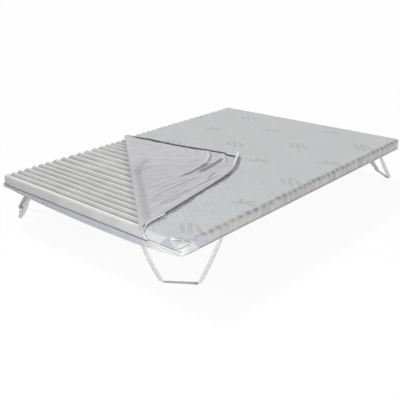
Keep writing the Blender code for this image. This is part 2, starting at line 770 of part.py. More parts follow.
def strap_points(sign_x, sign_y):
    """Turns places measured in from one corner into points of the model."""
    def at(from_side, from_end, height):
        return Vector((sign_x * (WIDTH / 2 - from_side), sign_y * (LENGTH / 2 - from_end), height))
    return at


def strap_leg(reach, foot, tab_drop, bend):
    """Centres and half-width shifts of one leg, top to bottom, along its side of the corner."""
    apex = (reach, -tab_drop - TAB_GAP)
    rows = [(apex, (GAP, 0.0))]
    top = tab_drop + TAB_GAP + TAB_CLEARANCE
    for step in range(STRAP_STEPS + 1):
        depth = top + (STRAP_DROP - top) * step / STRAP_STEPS
        share = depth / STRAP_DROP
        place = reach + (foot - reach) * share ** bend
        slope = bend * (foot - reach) * share ** (bend - 1) / STRAP_DROP
        run = Vector((slope, -1.0)).normalized()
        half = STRAP_WIDTH / 2
        if step in (0, STRAP_STEPS):
            shift = (half / abs(run.y), 0.0)
        else:
            shift = (-run.y * half, run.x * half)
        rows.append(((place, -depth), shift))
    return rows


def corner_strap(name, sign_x, sign_y, look):
    """One elastic strap: a leg down the end wall, a run under the mattress corner, a leg up the side."""
    at = strap_points(sign_x, sign_y)
    near, far = STRAP_INSET, STRAP_INSET + STRAP_THICK
    sections = []
    front_leg = strap_leg(STRAP_REACH_FRONT, STRAP_FOOT_FRONT, TAB_DROP_FRONT, FRONT_BEND_SHARE)
    for (place, height), (along, lift) in front_leg:
        sections.append([at(place - along, near, height - lift), at(place + along, near, height + lift),
                         at(place + along, far, height + lift), at(place - along, far, height - lift)])
    side_rows = []
    side_leg = strap_leg(STRAP_REACH_SIDE, STRAP_FOOT_SIDE, TAB_DROP_SIDE, SIDE_BEND_SHARE)
    for (place, height), (along, lift) in side_leg:
        side_rows.append([at(near, place - along, height - lift), at(near, place + along, height + lift),
                          at(far, place + along, height + lift), at(far, place - along, height - lift)])
    for rows in (sections, side_rows):
        rows[-1][0].z -= STRAP_THICK
        rows[-1][1].z -= STRAP_THICK
    sections += reversed(side_rows)
    verts, faces = sweep(sections)
    made = add_object(name, verts, faces, look)
    pivot = at(STRAP_REACH_FRONT, STRAP_INSET + STRAP_THICK / 2, 0.0)
    for vertex in made.data.vertices:
        vertex.co -= pivot
    made.location = pivot
    return made


def strap_fixings(word, sign_x, sign_y, elastic, thread):
    """The sewn ends of one strap and the bar tacks that hold them under the cover's edge."""
    at = strap_points(sign_x, sign_y)
    half = STRAP_WIDTH / 2
    near, far = STRAP_INSET, STRAP_INSET + STRAP_THICK
    tack_near, tack_far = far + GAP, far + GAP + TACK_THICK
    tack_low = -GAP - 2 * TACK_HEIGHT

    def block(name, reach, wide, low, high, inner, outer, on_end, look):
        rings = []
        for z in (low, high):
            corners = ((reach - wide, inner), (reach + wide, inner),
                       (reach + wide, outer), (reach - wide, outer))
            rings.append([at(a, i, z) if on_end else at(i, a, z) for a, i in corners])
        verts, faces = sweep(rings)
        add_object(name + word, verts, faces, look, flat=True)

    for leg, reach, drop, on_end in (("end", STRAP_REACH_FRONT, TAB_DROP_FRONT, True),
                                     ("side", STRAP_REACH_SIDE, TAB_DROP_SIDE, False)):
        block("strap_tab_" + leg + "_", reach, half, -drop, -GAP, near, far, on_end, elastic)
        block("strap_tack_" + leg + "_", reach, half - TACK_HEIGHT, tack_low, tack_low + TACK_HEIGHT,
              tack_near, tack_far, on_end, thread)


def straps(elastic, thread):
    """The four corner straps with their sewn ends."""
    for word, sign_x, sign_y in (("front_left", -1, -1), ("front_right", 1, -1),
                                 ("back_left", -1, 1), ("back_right", 1, 1)):
        corner_strap("corner_strap_" + word, sign_x, sign_y, elastic)
        strap_fixings(word, sign_x, sign_y, elastic, thread)


def badge_layer(name, out, reach_front, reach_side, top_inset, look):
    """One layer of the corner label, wrapped round the near corner and over the top edge."""
    side_station = Station((WIDTH / 2, -LENGTH / 2 + reach_side), (-1, 0))
    stations = [front_station(WIDTH / 2 - reach_front)] + corner_stations(1, -1, -90) + [side_station]
    sections = []
    for station in stations:
        section = []
        for depth, backwards in ((-out - BADGE_THICK, False), (-out, True)):
            rows = [(depth, BADGE_BOTTOM)]
            for step in range(ARC_STEPS + 1):
                angle = math.radians(90 * step / ARC_STEPS)
                radius = EDGE_ROUND - depth
                rows.append((EDGE_ROUND - radius * math.cos(angle),
                             HEIGHT - EDGE_ROUND + radius * math.sin(angle)))
            rows.append((top_inset, HEIGHT - depth))
            if backwards:
                rows.reverse()
            section += [station.at(inset, height) for inset, height in rows]
        sections.append(section)
    verts, faces = sweep(sections)
    return add_object(name, verts, faces, look)


def build():
    """The whole topper."""
    for old in list(bpy.data.objects):
        bpy.data.objects.remove(old, do_unlink=True)
    knit = material("knit", (0.78, 0.80, 0.81), 0.9)
    lining = material("lining", (0.74, 0.74, 0.77), 0.9)
    foam = material("foam", (0.86, 0.87, 0.83), 0.95)
    tape = material("zip_tape", (0.80, 0.80, 0.88), 0.8)
    teeth = material("zip_teeth", (0.62, 0.63, 0.68), 0.5)
    metal = material("zip_metal", (0.75, 0.75, 0.78), 0.35, 1.0)
    elastic = material("elastic", (0.88, 0.88, 0.88), 0.85)
    thread = material("thread", (0.95, 0.95, 0.95), 0.7)
    ribbon_cloth = material("label_ribbon", (0.72, 0.70, 0.80), 0.6)
    satin = material("label_satin", (0.92, 0.92, 0.92), 0.4)

    foam_core(foam)
    cover_shell("cover_top_panel", 0.0, KNIT_THICK, knit)
    cover_shell("cover_top_lining", LINING_DEPTH, LINING_THICK, lining)
    bottom_panel(knit)
    bottom_binding(tape)
    open_band(tape, tape, teeth)
    closed_zip(tape, teeth)
    zip_hardware(metal)
    fold_roll("cover_fold_knit", ROLL_RADIUS, KNIT_THICK, knit)
    fold_roll("cover_fold_lining", ROLL_RADIUS + LINING_DEPTH, LINING_THICK, lining)
    flap_layer("flap_panel", 0.0, KNIT_THICK, knit)
    flap_layer("flap_lining", LINING_DEPTH, LINING_THICK, lining)
    flap_edges(knit, tape, teeth)
    hem_curls(tape)
    straps(elastic, thread)
    badge_layer("badge_ribbon", GAP, RIBBON_REACH_FRONT, RIBBON_REACH_SIDE, EDGE_ROUND + GAP, ribbon_cloth)
    badge_layer("badge_patch", 2 * GAP + BADGE_THICK, PATCH_REACH_FRONT, PATCH_REACH_SIDE,
                PATCH_TOP_INSET, satin)


build()
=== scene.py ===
# Cold foam mattress topper: how it looks.
# A ribbed foam slab in a zipped knitted cover, with one corner of the cover folded back.
# Metres, +Z up, in the frame of the CAD model.

import math

import bpy
import bmesh
import numpy as np
from mathutils import Matrix, Vector


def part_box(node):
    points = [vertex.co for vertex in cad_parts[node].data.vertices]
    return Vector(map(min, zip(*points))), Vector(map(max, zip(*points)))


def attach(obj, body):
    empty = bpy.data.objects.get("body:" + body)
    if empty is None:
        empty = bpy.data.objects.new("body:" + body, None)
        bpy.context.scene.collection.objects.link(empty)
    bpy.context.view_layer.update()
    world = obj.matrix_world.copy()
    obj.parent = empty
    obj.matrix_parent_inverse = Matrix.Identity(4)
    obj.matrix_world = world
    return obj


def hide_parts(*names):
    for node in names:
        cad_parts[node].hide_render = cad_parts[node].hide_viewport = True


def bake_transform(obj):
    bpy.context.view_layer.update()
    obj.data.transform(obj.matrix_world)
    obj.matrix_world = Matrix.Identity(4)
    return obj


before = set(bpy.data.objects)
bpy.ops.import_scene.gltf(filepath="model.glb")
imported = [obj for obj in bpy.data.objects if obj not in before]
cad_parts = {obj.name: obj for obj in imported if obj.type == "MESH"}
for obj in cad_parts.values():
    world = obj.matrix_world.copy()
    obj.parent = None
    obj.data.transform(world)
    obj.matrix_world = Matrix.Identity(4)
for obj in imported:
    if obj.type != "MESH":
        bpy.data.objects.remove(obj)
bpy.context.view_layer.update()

bl_info = {
    "name": "Mattress topper",
    "version": (1, 0, 0),
    "blender": (4, 5, 0),
    "location": "View3D > Sidebar > Topper",
    "description": "A ribbed foam topper in a zipped knitted cover",
    "category": "Object",
}

# The cover, as the CAD model gives it
ROOT = "cover_and_foam"
FLAP = "flap"
HALF_X = float(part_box("cover_top_panel")[1].x)
HALF_Y = float(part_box("cover_top_panel")[1].y)
TOP = float(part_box("cover_top_panel")[1].z)
FOAM_LOW, FOAM_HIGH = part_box("foam_core")
GAP = 0.0003
CORNER = 0.030
EDGE = 0.017
KNIT = 0.0024
LINING = 0.0012
LINING_DEPTH = KNIT + GAP
TAPE = 0.0012
ROLL = 0.006
# Heights of the zipped hem, the sewn seam and the top of the underside's binding
HEM_Z = 0.0135
SEAM_Z = 0.0048
BINDING_Z = 0.0029

# The cover's flat middle, and how far its cloth runs from there to the start of the wall
INNER_X, INNER_Y = HALF_X - CORNER, HALF_Y - CORNER
QUARTER = math.pi / 2
FLAT_RUN = CORNER - EDGE
WALL_START = FLAT_RUN + EDGE * QUARTER
WALL_TOP = TOP - EDGE

# How much of the left side and of the front is open, and how much of the front is closed
OPEN_SIDE, OPEN_FRONT = 0.950, 1.147
CLOSED_FRONT = 0.253
# The fold, from the left wall to the front wall, and the corner's tip folded over it
LEFT_FOLD = np.array([-HALF_X, -HALF_Y + OPEN_SIDE])
FRONT_FOLD = np.array([HALF_X - CLOSED_FRONT, -HALF_Y])
SPAN = float(np.linalg.norm(FRONT_FOLD - LEFT_FOLD))
ALONG = (FRONT_FOLD - LEFT_FOLD) / SPAN
ASIDE = np.array([-ALONG[1], ALONG[0]])
OPEN_TIP = np.array([-HALF_X, -HALF_Y]) - LEFT_FOLD
TIP_ALONG = float(OPEN_TIP @ ALONG)
TIP_OUT = float(-OPEN_TIP @ ASIDE)
TIP_LEFT = (0.399 * SPAN, 0.851 * TIP_OUT)
TIP_RIGHT = (0.553 * SPAN, 0.750 * TIP_OUT)
TIP_RISE = 0.007

# Pitch and number of ribs in each zone, and the foam from its end to its first crest
RIB_ZONES = ((0.0474, 6), (0.0594, 7), (0.0460, 12), (0.0594, 7), (0.0474, 6))
NOSE = 0.0198
# How low the slack band hangs at places across the front
BAND_PLACES = (0.6668, 0.5468, 0.4468, 0.2667, 0.0, -0.2801, -0.4801, -0.6401)
BAND_DROPS = (0.0059, 0.0189, 0.0280, 0.0325, 0.0325, 0.0280, 0.0202, 0.0101)

# The elastic straps: each leg's name, where it is sewn, where it meets the mattress's foot, how far its sewn
# end hangs and how much the leg bends
STRAP_WIDTH = 0.0300
STRAP_DROP = 0.1720
STRAP_THICKNESS = 0.0014
STRAP_ENDS = (("end", 0.256, 0.134, 0.0340, 1.5), ("side", 0.244, 0.095, 0.0150, 1.15))

UP = np.array([0.0, 0.0, 1.0])
# Next to nothing, where a length of 0 would be divided by
TINY = 1e-9


class TopperSizes(bpy.types.PropertyGroup):
    """Sizes that a user may change without leaving the CAD model."""

    rib_depth: bpy.props.FloatProperty(
        name="Rib depth", description="From the crest of a foam rib to its groove",
        default=0.0180, min=0.005, max=0.018, unit="LENGTH")
    edge_dent: bpy.props.FloatProperty(
        name="Edge dents", description="How far the cover sinks in between two ribs at its edge",
        default=0.0120, min=0.0, max=0.012, unit="LENGTH")
    crease: bpy.props.FloatProperty(
        name="Creases", description="Height of the fine creases in the folded-back cloth",
        default=0.0015, min=0.0, max=0.002, unit="LENGTH")
    tooth_pitch: bpy.props.FloatProperty(
        name="Zip pitch", description="From one tooth of the zip to the next",
        default=0.0030, min=0.002, max=0.006, unit="LENGTH")
    stitch: bpy.props.FloatProperty(
        name="Stitch", description="Length of one stitch of the seams",
        default=0.0032, min=0.002, max=0.006, unit="LENGTH")


def colour_property(name, description, colour):
    """A colour that a user may change."""
    return bpy.props.FloatVectorProperty(
        name=name, description=description, default=colour, min=0.0, max=1.0, subtype="COLOR")


class TopperColours(bpy.types.PropertyGroup):
    """Colours of the cloths, the foam and the zip."""

    knit: colour_property("Knit", "Outer cloth of the cover", (0.585, 0.606, 0.616))
    lining: colour_property("Lining", "Inner cloth of the cover", (0.500, 0.502, 0.528))
    foam: colour_property("Foam", "The ribbed slab", (0.790, 0.802, 0.798))
    tape: colour_property("Zip tape", "Woven tape of the zip and the border", (0.535, 0.550, 0.605))
    teeth: colour_property("Teeth", "Moulded teeth of the zip", (0.130, 0.135, 0.160))
    metal: colour_property("Metal", "Slider, pull and stops", (0.560, 0.560, 0.580))
    elastic: colour_property("Elastic", "Corner straps", (0.700, 0.705, 0.710))
    thread: colour_property("Thread", "Stitches and bar tacks", (0.850, 0.850, 0.850))
    ribbon: colour_property("Ribbon", "Label ribbon", (0.460, 0.455, 0.530))
    satin: colour_property("Satin", "Plain satin patch of the label", (0.600, 0.615, 0.615))
    floor: colour_property("Floor", "The studio floor", (0.900, 0.900, 0.900))


def sizes():
    return bpy.context.scene.topper_sizes


def colours():
    return bpy.context.scene.topper_colours


# Materials


class Signal:
    """One value in a material; Python's signs on it add the nodes of the sum."""

    def __init__(self, look, socket):
        self.look = look
        self.socket = socket

    def math(self, operation, *others):
        return self.look.node("ShaderNodeMath", {"operation": operation}, self, *others)

    def __add__(self, other):
        return self.math("ADD", other)

    def __sub__(self, other):
        return self.math("SUBTRACT", other)

    def __mul__(self, other):
        return self.math("MULTIPLY", other)

    def __truediv__(self, other):
        return self.math("DIVIDE", other)

    def __rsub__(self, other):
        return self.look.node("ShaderNodeMath", {"operation": "SUBTRACT"}, other, self)

    def __rtruediv__(self, other):
        return self.look.node("ShaderNodeMath", {"operation": "DIVIDE"}, other, self)

    __radd__ = __add__
    __rmul__ = __mul__

    def wave(self):
        """0 on the lines at whole numbers and 1 midway between them."""
        return (self * math.pi).math("SINE").size()

    def least(self, other):
        return self.math("MINIMUM", other)

    def most(self, other):
        return self.math("MAXIMUM", other)

    def floor(self):
        return self.math("FLOOR")

    def size(self):
        """The value without its sign."""
        return self.math("ABSOLUTE")

    def clamp(self):
        return self.least(1.0).most(0.0)

    def step(self, low, high):
        """0 up to low, 1 from high and an even curve between."""
        settings = {"interpolation_type": "SMOOTHSTEP"}
        return self.look.node("ShaderNodeMapRange", settings, self, low, high, 0.0, 1.0)


class Look:
    """A material in the making: its base colour, and the tones that are laid over each other."""

    def __init__(self, name, base, roughness, **shader_values):
        self.base = tuple(base)
        self.colour = None
        self.material = bpy.data.materials.new(name)
        self.material.use_nodes = True
        self.tree = self.material.node_tree
        self.shader = self.tree.nodes["Principled BSDF"]
        self.shader.inputs["Roughness"].default_value = roughness
        for label, value in shader_values.items():
            self.shader.inputs[label.replace("_", " ").title()].default_value = value

    def feed(self, socket, value):
        if isinstance(value, Signal):
            self.tree.links.new(value.socket, socket)
        elif value is not None:
            socket.default_value = value

    def node(self, kind, settings=None, *values, out=0, **named):
        """Adds one node: its settings first, then what goes into its sockets."""
        made = self.tree.nodes.new(kind)
        for word, value in (settings or {}).items():
            setattr(made, word, value)
        for place, value in enumerate(values):
            self.feed(made.inputs[place], value)
        for label, value in named.items():
            self.feed(made.inputs[label], value)
        return Signal(self, made.outputs[out])

    def cloth(self):
        """The two directions of the cloth in metres, from the piece's own UV map."""
        place = self.node("ShaderNodeUVMap", {"uv_map": "cloth"})
        split = self.node("ShaderNodeSeparateXYZ", None, place)
        return split, Signal(self, split.socket.node.outputs[1])

    def place(self):
        """The three object coordinates in metres."""
        place = self.node("ShaderNodeTexCoord", None, out=3)
        split = self.node("ShaderNodeSeparateXYZ", None, place)
        return place, [Signal(self, split.socket.node.outputs[i]) for i in range(3)]

    def spot(self, x, y, z=0.0):
        return self.node("ShaderNodeCombineXYZ", None, x, y, z)

    def grain(self, where, scale, detail=2.0, rough=0.5):
        """Noise round 0.5."""
        return self.node("ShaderNodeTexNoise", {"noise_dimensions": "3D"}, Vector=where, Scale=scale,
                         Detail=detail, Roughness=rough)

    def attribute(self, name):
        return self.node("ShaderNodeAttribute", {"attribute_name": name}, out=2)

    def mix(self, share, one, two):
        """One colour where the share is 0, the other where it is 1."""
        made = self.tree.nodes.new("ShaderNodeMix")
        made.data_type = "RGBA"
        self.feed(made.inputs[0], share)
        for place, colour in ((6, one), (7, two)):
            self.feed(made.inputs[place], colour if isinstance(colour, Signal) else (*colour, 1.0))
        return Signal(self, made.outputs[2])

    def start(self, share, low, high):
        """The first tones: one where the share is 0, the other where it is 1."""
        self.colour = self.mix(share, shade(self.base, low), shade(self.base, high))

    def lay(self, share, over):
        """Lays a tone of the base colour, or another colour, over what is there."""
        over = shade(self.base, over) if isinstance(over, float) else over
        self.colour = self.mix(share, self.colour, over)

    def done(self, roughness, height, depth, strength):
        """The finished material, with a relief from a height."""
        relief = self.node("ShaderNodeBump", None, Height=height, Distance=depth, Strength=strength)
        self.feed(self.shader.inputs["Base Color"], self.colour)
        self.feed(self.shader.inputs["Roughness"], roughness)
        self.feed(self.shader.inputs["Normal"], relief)
        return self.material


def shade(colour, share):
    """A colour made darker or lighter by one share, or by one for each of its parts."""
    return tuple(min(c * s, 1.0) for c, s in zip(colour, np.broadcast_to(share, 3)))


def leaf(x, y, at, turn, long, wide):
    """1 in the middle of one leaf and 0 outside it."""
    c, s = math.cos(turn), math.sin(turn)
    run = ((x - at[0]) * c + (y - at[1]) * s) / long
    side = ((y - at[1]) * c - (x - at[0]) * s) / wide
    inside = (1.0 - run * run - side.size()).clamp()
    vein = (side * 2.2 + run * 3.0).wave()
    return inside.step(0.0, 0.25) * (0.35 + vein * 0.35 + (1.0 - inside.step(0.25, 0.55)) * 0.30)


# The sprigs' columns and rows, each column's shift, and their leaves: turn, middle, length, width
SPRIG_COLUMN, SPRIG_ROW, SPRIG_SHIFT = 0.328, 0.387, 0.210
SPRIG_START = (0.610, -0.090)
BOLD_LEAVES = ((-0.75, (-0.032, -0.012), 0.064, 0.012), (-0.85, (0.004, 0.000), 0.076, 0.012),
               (-0.70, (0.040, 0.018), 0.058, 0.012), (0.30, (-0.020, 0.044), 0.030, 0.009))
FAINT_LEAVES = ((0.10, (0.036, 0.010), 0.040, 0.016), (0.90, (0.012, 0.036), 0.036, 0.014),
                (2.40, (-0.030, 0.022), 0.036, 0.014), (3.30, (-0.034, -0.014), 0.040, 0.016))


def sprigs(u, v):
    """Plain sprigs knitted in at wide steps, bold ones and faint ones in turn."""
    column = ((u - (SPRIG_START[0] - SPRIG_COLUMN / 2)) / SPRIG_COLUMN).floor()
    x = u - SPRIG_START[0] - column * SPRIG_COLUMN
    place = (v - SPRIG_START[1] - column * SPRIG_SHIFT) / SPRIG_ROW + 0.5
    row = place.floor()
    y = (place - row - 0.5) * SPRIG_ROW
    odd = (row * 0.5 - (row * 0.5).floor()) * 2.0
    kinds = []
    for leaves in (BOLD_LEAVES, FAINT_LEAVES):
        found = None
        for turn, at, long, wide in leaves:
            one = leaf(x, y, at, turn, long, wide)
            found = one if found is None else found.most(one)
        kinds.append(found)
    return kinds[0] * (1.0 - odd) + kinds[1] * odd * 0.75


# Tones of the knit between its diamonds and on them
KNIT_TONES = (0.38, 1.17)


def diamonds(u, v):
    """0 on the lines between the small diamonds of the knit and 1 on their middles."""
    lines = (u * 78.0 + v * 82.0).wave().least((u * 78.0 - v * 82.0).wave())
    return lines.step(0.0, 0.60)


def knit_look():
    """Double knit in small diamonds, with plain sprigs."""
    look = Look("knit", colours().knit, 0.92, sheen_weight=0.15)
    u, v = look.cloth()
    where = look.spot(u, v)
    sprig = sprigs(u, v)
    yarn = (u * 700.0).wave() * (v * 520.0).wave()
    cloud = look.grain(where, 5.0, 3.0)
    mottle = look.grain(where, 38.0, 2.0)
    crease = look.grain(look.spot(v * 34.0, u * 9.0), 1.0, 3.0, 0.6)
    wall = look.attribute("wall")
    relief = diamonds(u, v) * (1.0 - sprig * 0.6)
    look.start(relief, *KNIT_TONES)
    look.lay(sprig * 0.38, 0.62)
    look.lay(mottle.step(0.40, 0.62) * 0.24, 0.80)
    look.lay(cloud.step(0.35, 0.70) * 0.10, 1.12)
    # Painted shade: the right wall is made darker and warmer, as it faces away from the key light
    look.lay(wall * 0.9, shade(look.base, (0.90, 0.855, 0.82)))
    # Painted shade and painted highlight of creases on the right wall
    look.lay(wall * crease.step(0.50, 0.66) * 0.65, 0.62)
    look.lay(wall * crease.step(0.46, 0.30) * 0.50, 1.10)
    # Painted light: the front wall is made lighter
    look.lay(look.attribute("front") * 0.95, 1.22)
    # Painted shade in the dents between the ribs at the cover's edge
    look.lay(look.attribute("dent"), 0.26)
    look.lay(yarn * 0.05, 0.7)
    return look.done(0.84 + relief * 0.08, relief + yarn * 0.12 + sprig * 0.45, 0.0012, 0.9)


def lining_look():
    """Brushed inner side of the knit, with a lighter strip where the wall's seam lies flat; painted shade
    and painted highlight in streaks that stand for fine creases and on the folds.
    """
    look = Look("lining", colours().lining, 0.95, sheen_weight=0.10)
    u, v = look.cloth()
    where = look.spot(u, v)
    fibre = look.grain(look.spot(u * 9.0, v * 42.0), 26.0, 4.0, 0.65)
    crease_streaks = look.grain(look.spot(u * 24.6 - v * 20.4, u * 4.8 + v * 5.8), 1.0, 4.0, 0.7)
    fleece = look.grain(where, 340.0, 3.0, 0.6)
    cloud = look.grain(where, 7.0, 3.0)
    patch = look.grain(look.spot(u, v * 2.0), 17.0, 1.0)
    strip = 1.0 - look.attribute("from_edge").step(0.040, 0.052)
    look.start(fibre.step(0.25, 0.75), 0.95, 1.05)
    look.lay(cloud.step(0.3, 0.7) * 0.35, 0.93)
    # Painted shade and painted highlight: streaks that stand for fine creases; they also feed the bump
    look.lay(crease_streaks.step(0.48, 0.66) * 0.60, 0.80)
    look.lay(crease_streaks.step(0.50, 0.34) * 0.45, 1.14)
    look.lay(strip * 0.35, 1.16)
    look.lay(strip * patch.step(0.55, 0.70) * 0.5, tuple(colours().tape))
    # Painted shade on the steep side of the folds and painted highlight on the side that meets the light
    look.lay(look.attribute("painted_fold_shade") * 0.85, 0.48)
    look.lay(look.attribute("painted_fold_highlight") * 0.75, 1.34)
    outer = look.mix(diamonds(u, v), *(shade(colours().knit, tone) for tone in KNIT_TONES))
    look.lay(look.attribute("beyond_zip"), outer)
    return look.done(0.88 + fleece * 0.1, fibre * 0.3 + fleece * 0.3 + crease_streaks * 0.8, 0.0016, 0.6)


def foam_look():
    """Open-cell foam with a fine skin of pores and the marks of the cutter."""
    look = Look("foam", colours().foam, 0.95)
    where, (x, y, z) = look.place()
    pores = look.node("ShaderNodeTexVoronoi", {"feature": "F1"}, Vector=where, Scale=620.0)
    fine = look.grain(where, 260.0, 4.0, 0.65)
    cloud = look.grain(where, 6.0, 3.0)
    cut = look.grain(look.spot(x * 3.0, y * 60.0, z * 260.0), 3.0, 2.0)
    low = look.attribute("rib_low")
    look.start(fine.step(0.3, 0.7), 0.965, 1.03)
    # Painted shade: the ribs' flanks and grooves are made darker, where less light falls on them
    look.lay(low.step(0.05, 0.22) * 0.90, 0.66)
    look.lay(low.step(0.50, 0.90) * 0.90, 0.42)
    look.lay(cloud.step(0.35, 0.7) * 0.3, shade(look.base, (1.01, 1.0, 0.98)))
    look.lay(cut.step(0.52, 0.68) * 0.16, 0.86)
    return look.done(0.9 + fine * 0.08, pores.step(0.0, 0.6) * 0.6 + fine * 0.5 + cut * 0.4, 0.0007, 0.55)


def tape_look():
    """Woven tape with fine ribs along it."""
    look = Look("zip_tape", colours().tape, 0.8, sheen_weight=0.1)
    u, v = look.cloth()
    rib = (v * 520.0).wave()
    weft = (u * 700.0 + rib * 0.5).wave()
    cloud = look.grain(look.spot(u, v), 30.0, 3.0)
    stripe = 1.0 - ((v - 0.0075).size() * 900.0).clamp()
    look.start(rib, 0.86, 1.08)
    look.lay(weft * 0.12, 0.7)
    look.lay(cloud.step(0.3, 0.7) * 0.2, 1.12)
    look.lay(stripe * 0.55, 0.62)
    # Whiter tape where the whiter share is set
    look.lay(look.attribute("whiter_share"), (0.86, 0.87, 0.87))
    # Painted shadow: the shaded mark turns the tape near black
    look.lay(look.attribute("shaded"), (0.165, 0.170, 0.182))
    return look.done(0.75 + rib * 0.1, rib * 0.7 + weft * 0.4, 0.0003, 0.8)


def teeth_look():
    """Moulded coil of the zip."""
    look = Look("zip_teeth", colours().teeth, 0.45)
    where, _ = look.place()
    grain = look.grain(where, 900.0, 2.0)
    cloud = look.grain(where, 40.0, 2.0)
    look.start(grain.step(0.35, 0.7), 0.88, 1.12)
    look.lay(cloud.step(0.4, 0.7) * 0.3, 1.35)
    return look.done(0.38 + grain * 0.2, grain, 0.0002, 0.5)


def metal_look():
    """Cast zinc with a thin lacquer and light scratches."""
    look = Look("zip_metal", colours().metal, 0.35, metallic=1.0)
    where, (x, y, z) = look.place()
    cast = look.grain(where, 420.0, 4.0, 0.6)
    scratch = look.grain(look.spot(x * 300.0, y * 18.0, z * 300.0), 3.0, 2.0)
    look.start(cast.step(0.35, 0.7), 0.9, 1.08)
    look.lay(scratch.step(0.58, 0.66) * 0.5, 1.3)
    return look.done(0.28 + cast * 0.2, cast + scratch * 0.4, 0.00015, 0.5)


def elastic_look():
    """Woven elastic: fine ribs along it, rubber threads across it and a firm edge on both sides."""
    look = Look("elastic", colours().elastic, 0.85, sheen_weight=0.1)
    u, v = look.cloth()
    rib = (u * 640.0).wave()
    across = (v * 330.0 + rib * 0.5).wave()
    edge = (u - STRAP_WIDTH / 2).size().step(0.0130, 0.0145)
    cloud = look.grain(look.spot(u, v), 24.0, 3.0)
    look.start(rib.step(0.0, 0.8), 0.84, 1.05)
    look.lay(across * 0.14, 0.72)
    look.lay(edge * 0.30, 0.86)
    look.lay(cloud.step(0.35, 0.7) * 0.2, 1.1)
    return look.done(0.78 + rib * 0.1, rib * 0.6 + across * 0.5 - edge * 0.5, 0.0004, 0.8)


def thread_look():
    """Twisted polyester thread."""
    look = Look("thread", colours().thread, 0.6, sheen_weight=0.1)
    _, (x, y, z) = look.place()
    twist = ((x + y) * 900.0 + z * 1300.0).wave()
    look.start(twist, 0.8, 1.05)
    return look.done(0.5 + twist * 0.2, twist, 0.0002, 0.7)


def satin_look(name, base, rough, rib_scale):
    """Satin cloth: close fine ribs and a soft shine."""
    look = Look(name, base, rough, sheen_weight=0.2, coat_weight=0.1)
    u, v = look.cloth()
    rib = (v * rib_scale).wave()
    float_thread = look.grain(look.spot(u * 20.0, v * 400.0), 4.0, 2.0)
    cloud = look.grain(look.spot(u, v), 28.0, 3.0)
    look.start(rib * 0.4, 1.03, 0.9)
    look.lay(float_thread.step(0.4, 0.7) * 0.25, 1.12)
    look.lay(cloud.step(0.35, 0.65) * 0.35, 0.88)
    # Painted shade under the patch's folds
    look.lay(look.attribute("painted_fold_shade") * 0.85, 0.20)
    return look.done(rough + cloud * 0.12, rib * 0.4 + float_thread, 0.0002, 0.6)


LOOK_MAKERS = {
    "knit": knit_look, "lining": lining_look, "foam": foam_look, "tape": tape_look, "teeth": teeth_look,
    "zip_metal": metal_look, "elastic": elastic_look, "thread": thread_look,
    "label_ribbon": lambda: satin_look("label_ribbon", colours().ribbon, 0.5, 620.0),
    "label_satin": lambda: satin_look("label_satin", colours().satin, 0.32, 900.0),
}
LOOKS = {}


def look_of(slot):
    """The material of one slot, made the first time that it is asked for."""
    if slot not in LOOKS:
        LOOKS[slot] = LOOK_MAKERS[slot]()
    return LOOKS[slot]


# Meshes


def even(values):
    """0 below 0, 1 above 1 and an even curve between."""
    t = np.clip(values, 0.0, 1.0)
    return t * t * (3.0 - 2.0 * t)


# Hills of the noise before it repeats
CELLS = 64


def ripple(x, y, seed):
    """Soft noise from -1 to 1 with hills one unit apart."""
    lattice = np.random.default_rng(seed).uniform(-1.0, 1.0, (CELLS, CELLS))
    x, y = np.asarray(x, float) + 1000.0, np.asarray(y, float) + 1000.0
    i, j = np.floor(x).astype(int), np.floor(y).astype(int)
    fx, fy = even(x - i), even(y - j)
    i0, i1, j0, j1 = i % CELLS, (i + 1) % CELLS, j % CELLS, (j + 1) % CELLS
    low = lattice[i0, j0] * (1 - fx) + lattice[i1, j0] * fx
    high = lattice[i0, j1] * (1 - fx) + lattice[i1, j1] * fx
    return low * (1 - fy) + high * fy


def hills(x, y, seed):
    """The same noise from 0 to 1."""
    return 0.5 + 0.5 * ripple(x, y, seed)


def bell(away, width):
    """1 on a line and next to nothing from twice the width away."""
    return np.exp(-(away / width) ** 2)


def lengths_along(points):
    """How far along a line of points each one lies."""
    return np.concatenate([[0.0], np.cumsum(np.linalg.norm(np.diff(points, axis=0), axis=1))])


def fit(piece, body, *nodes):
    """Puts a piece on its body, in the place of its CAD nodes."""
    if nodes:
        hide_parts(*nodes)
    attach(piece, body)


def add_piece(name, points, faces, slot, cloth=None, marks=None, flat=False):
    """A mesh piece with its material, its cloth map and its marks."""
    mesh = bpy.data.meshes.new(name)
    points = np.asarray(points, float).reshape(-1, 3)
    mesh.from_pydata(points.tolist(), [], faces)
    if cloth is not None:
        spots = np.empty(len(mesh.loops), np.int32)
        mesh.loops.foreach_get("vertex_index", spots)
        layer = mesh.uv_layers.new(name="cloth")
        layer.data.foreach_set("uv", np.asarray(cloth, float).reshape(-1, 2)[spots].ravel())
    for word, values in (marks or {}).items():
        mark = mesh.attributes.new(word, "FLOAT", "POINT")
        mark.data.foreach_set("value", np.asarray(values, float).ravel())
    mesh.materials.append(look_of(slot))
    mesh.validate()
    if not flat:
        mesh.shade_smooth()
    made = bpy.data.objects.new(name, mesh)
    bpy.context.scene.collection.objects.link(made)
    return made


def grid_faces(rows, columns, ring=False):
    """Quads between the points of a grid; a ring joins its last column to its first."""
    faces = []
    last = columns if ring else columns - 1
    for i in range(rows - 1):
        for j in range(last):
            k = (j + 1) % columns
            faces.append((i * columns + j, i * columns + k, (i + 1) * columns + k, (i + 1) * columns + j))
    return faces


def capped_tube(sections):
    """Points and faces of a solid through like sections, closed at its ends."""
    sections = np.asarray(sections, float)
    rows, columns = sections.shape[:2]
    faces = grid_faces(rows, columns, ring=True)
    faces.append(tuple(range(columns)))
    faces.append(tuple(range((rows - 1) * columns, rows * columns)))
    return sections.reshape(-1, 3), faces


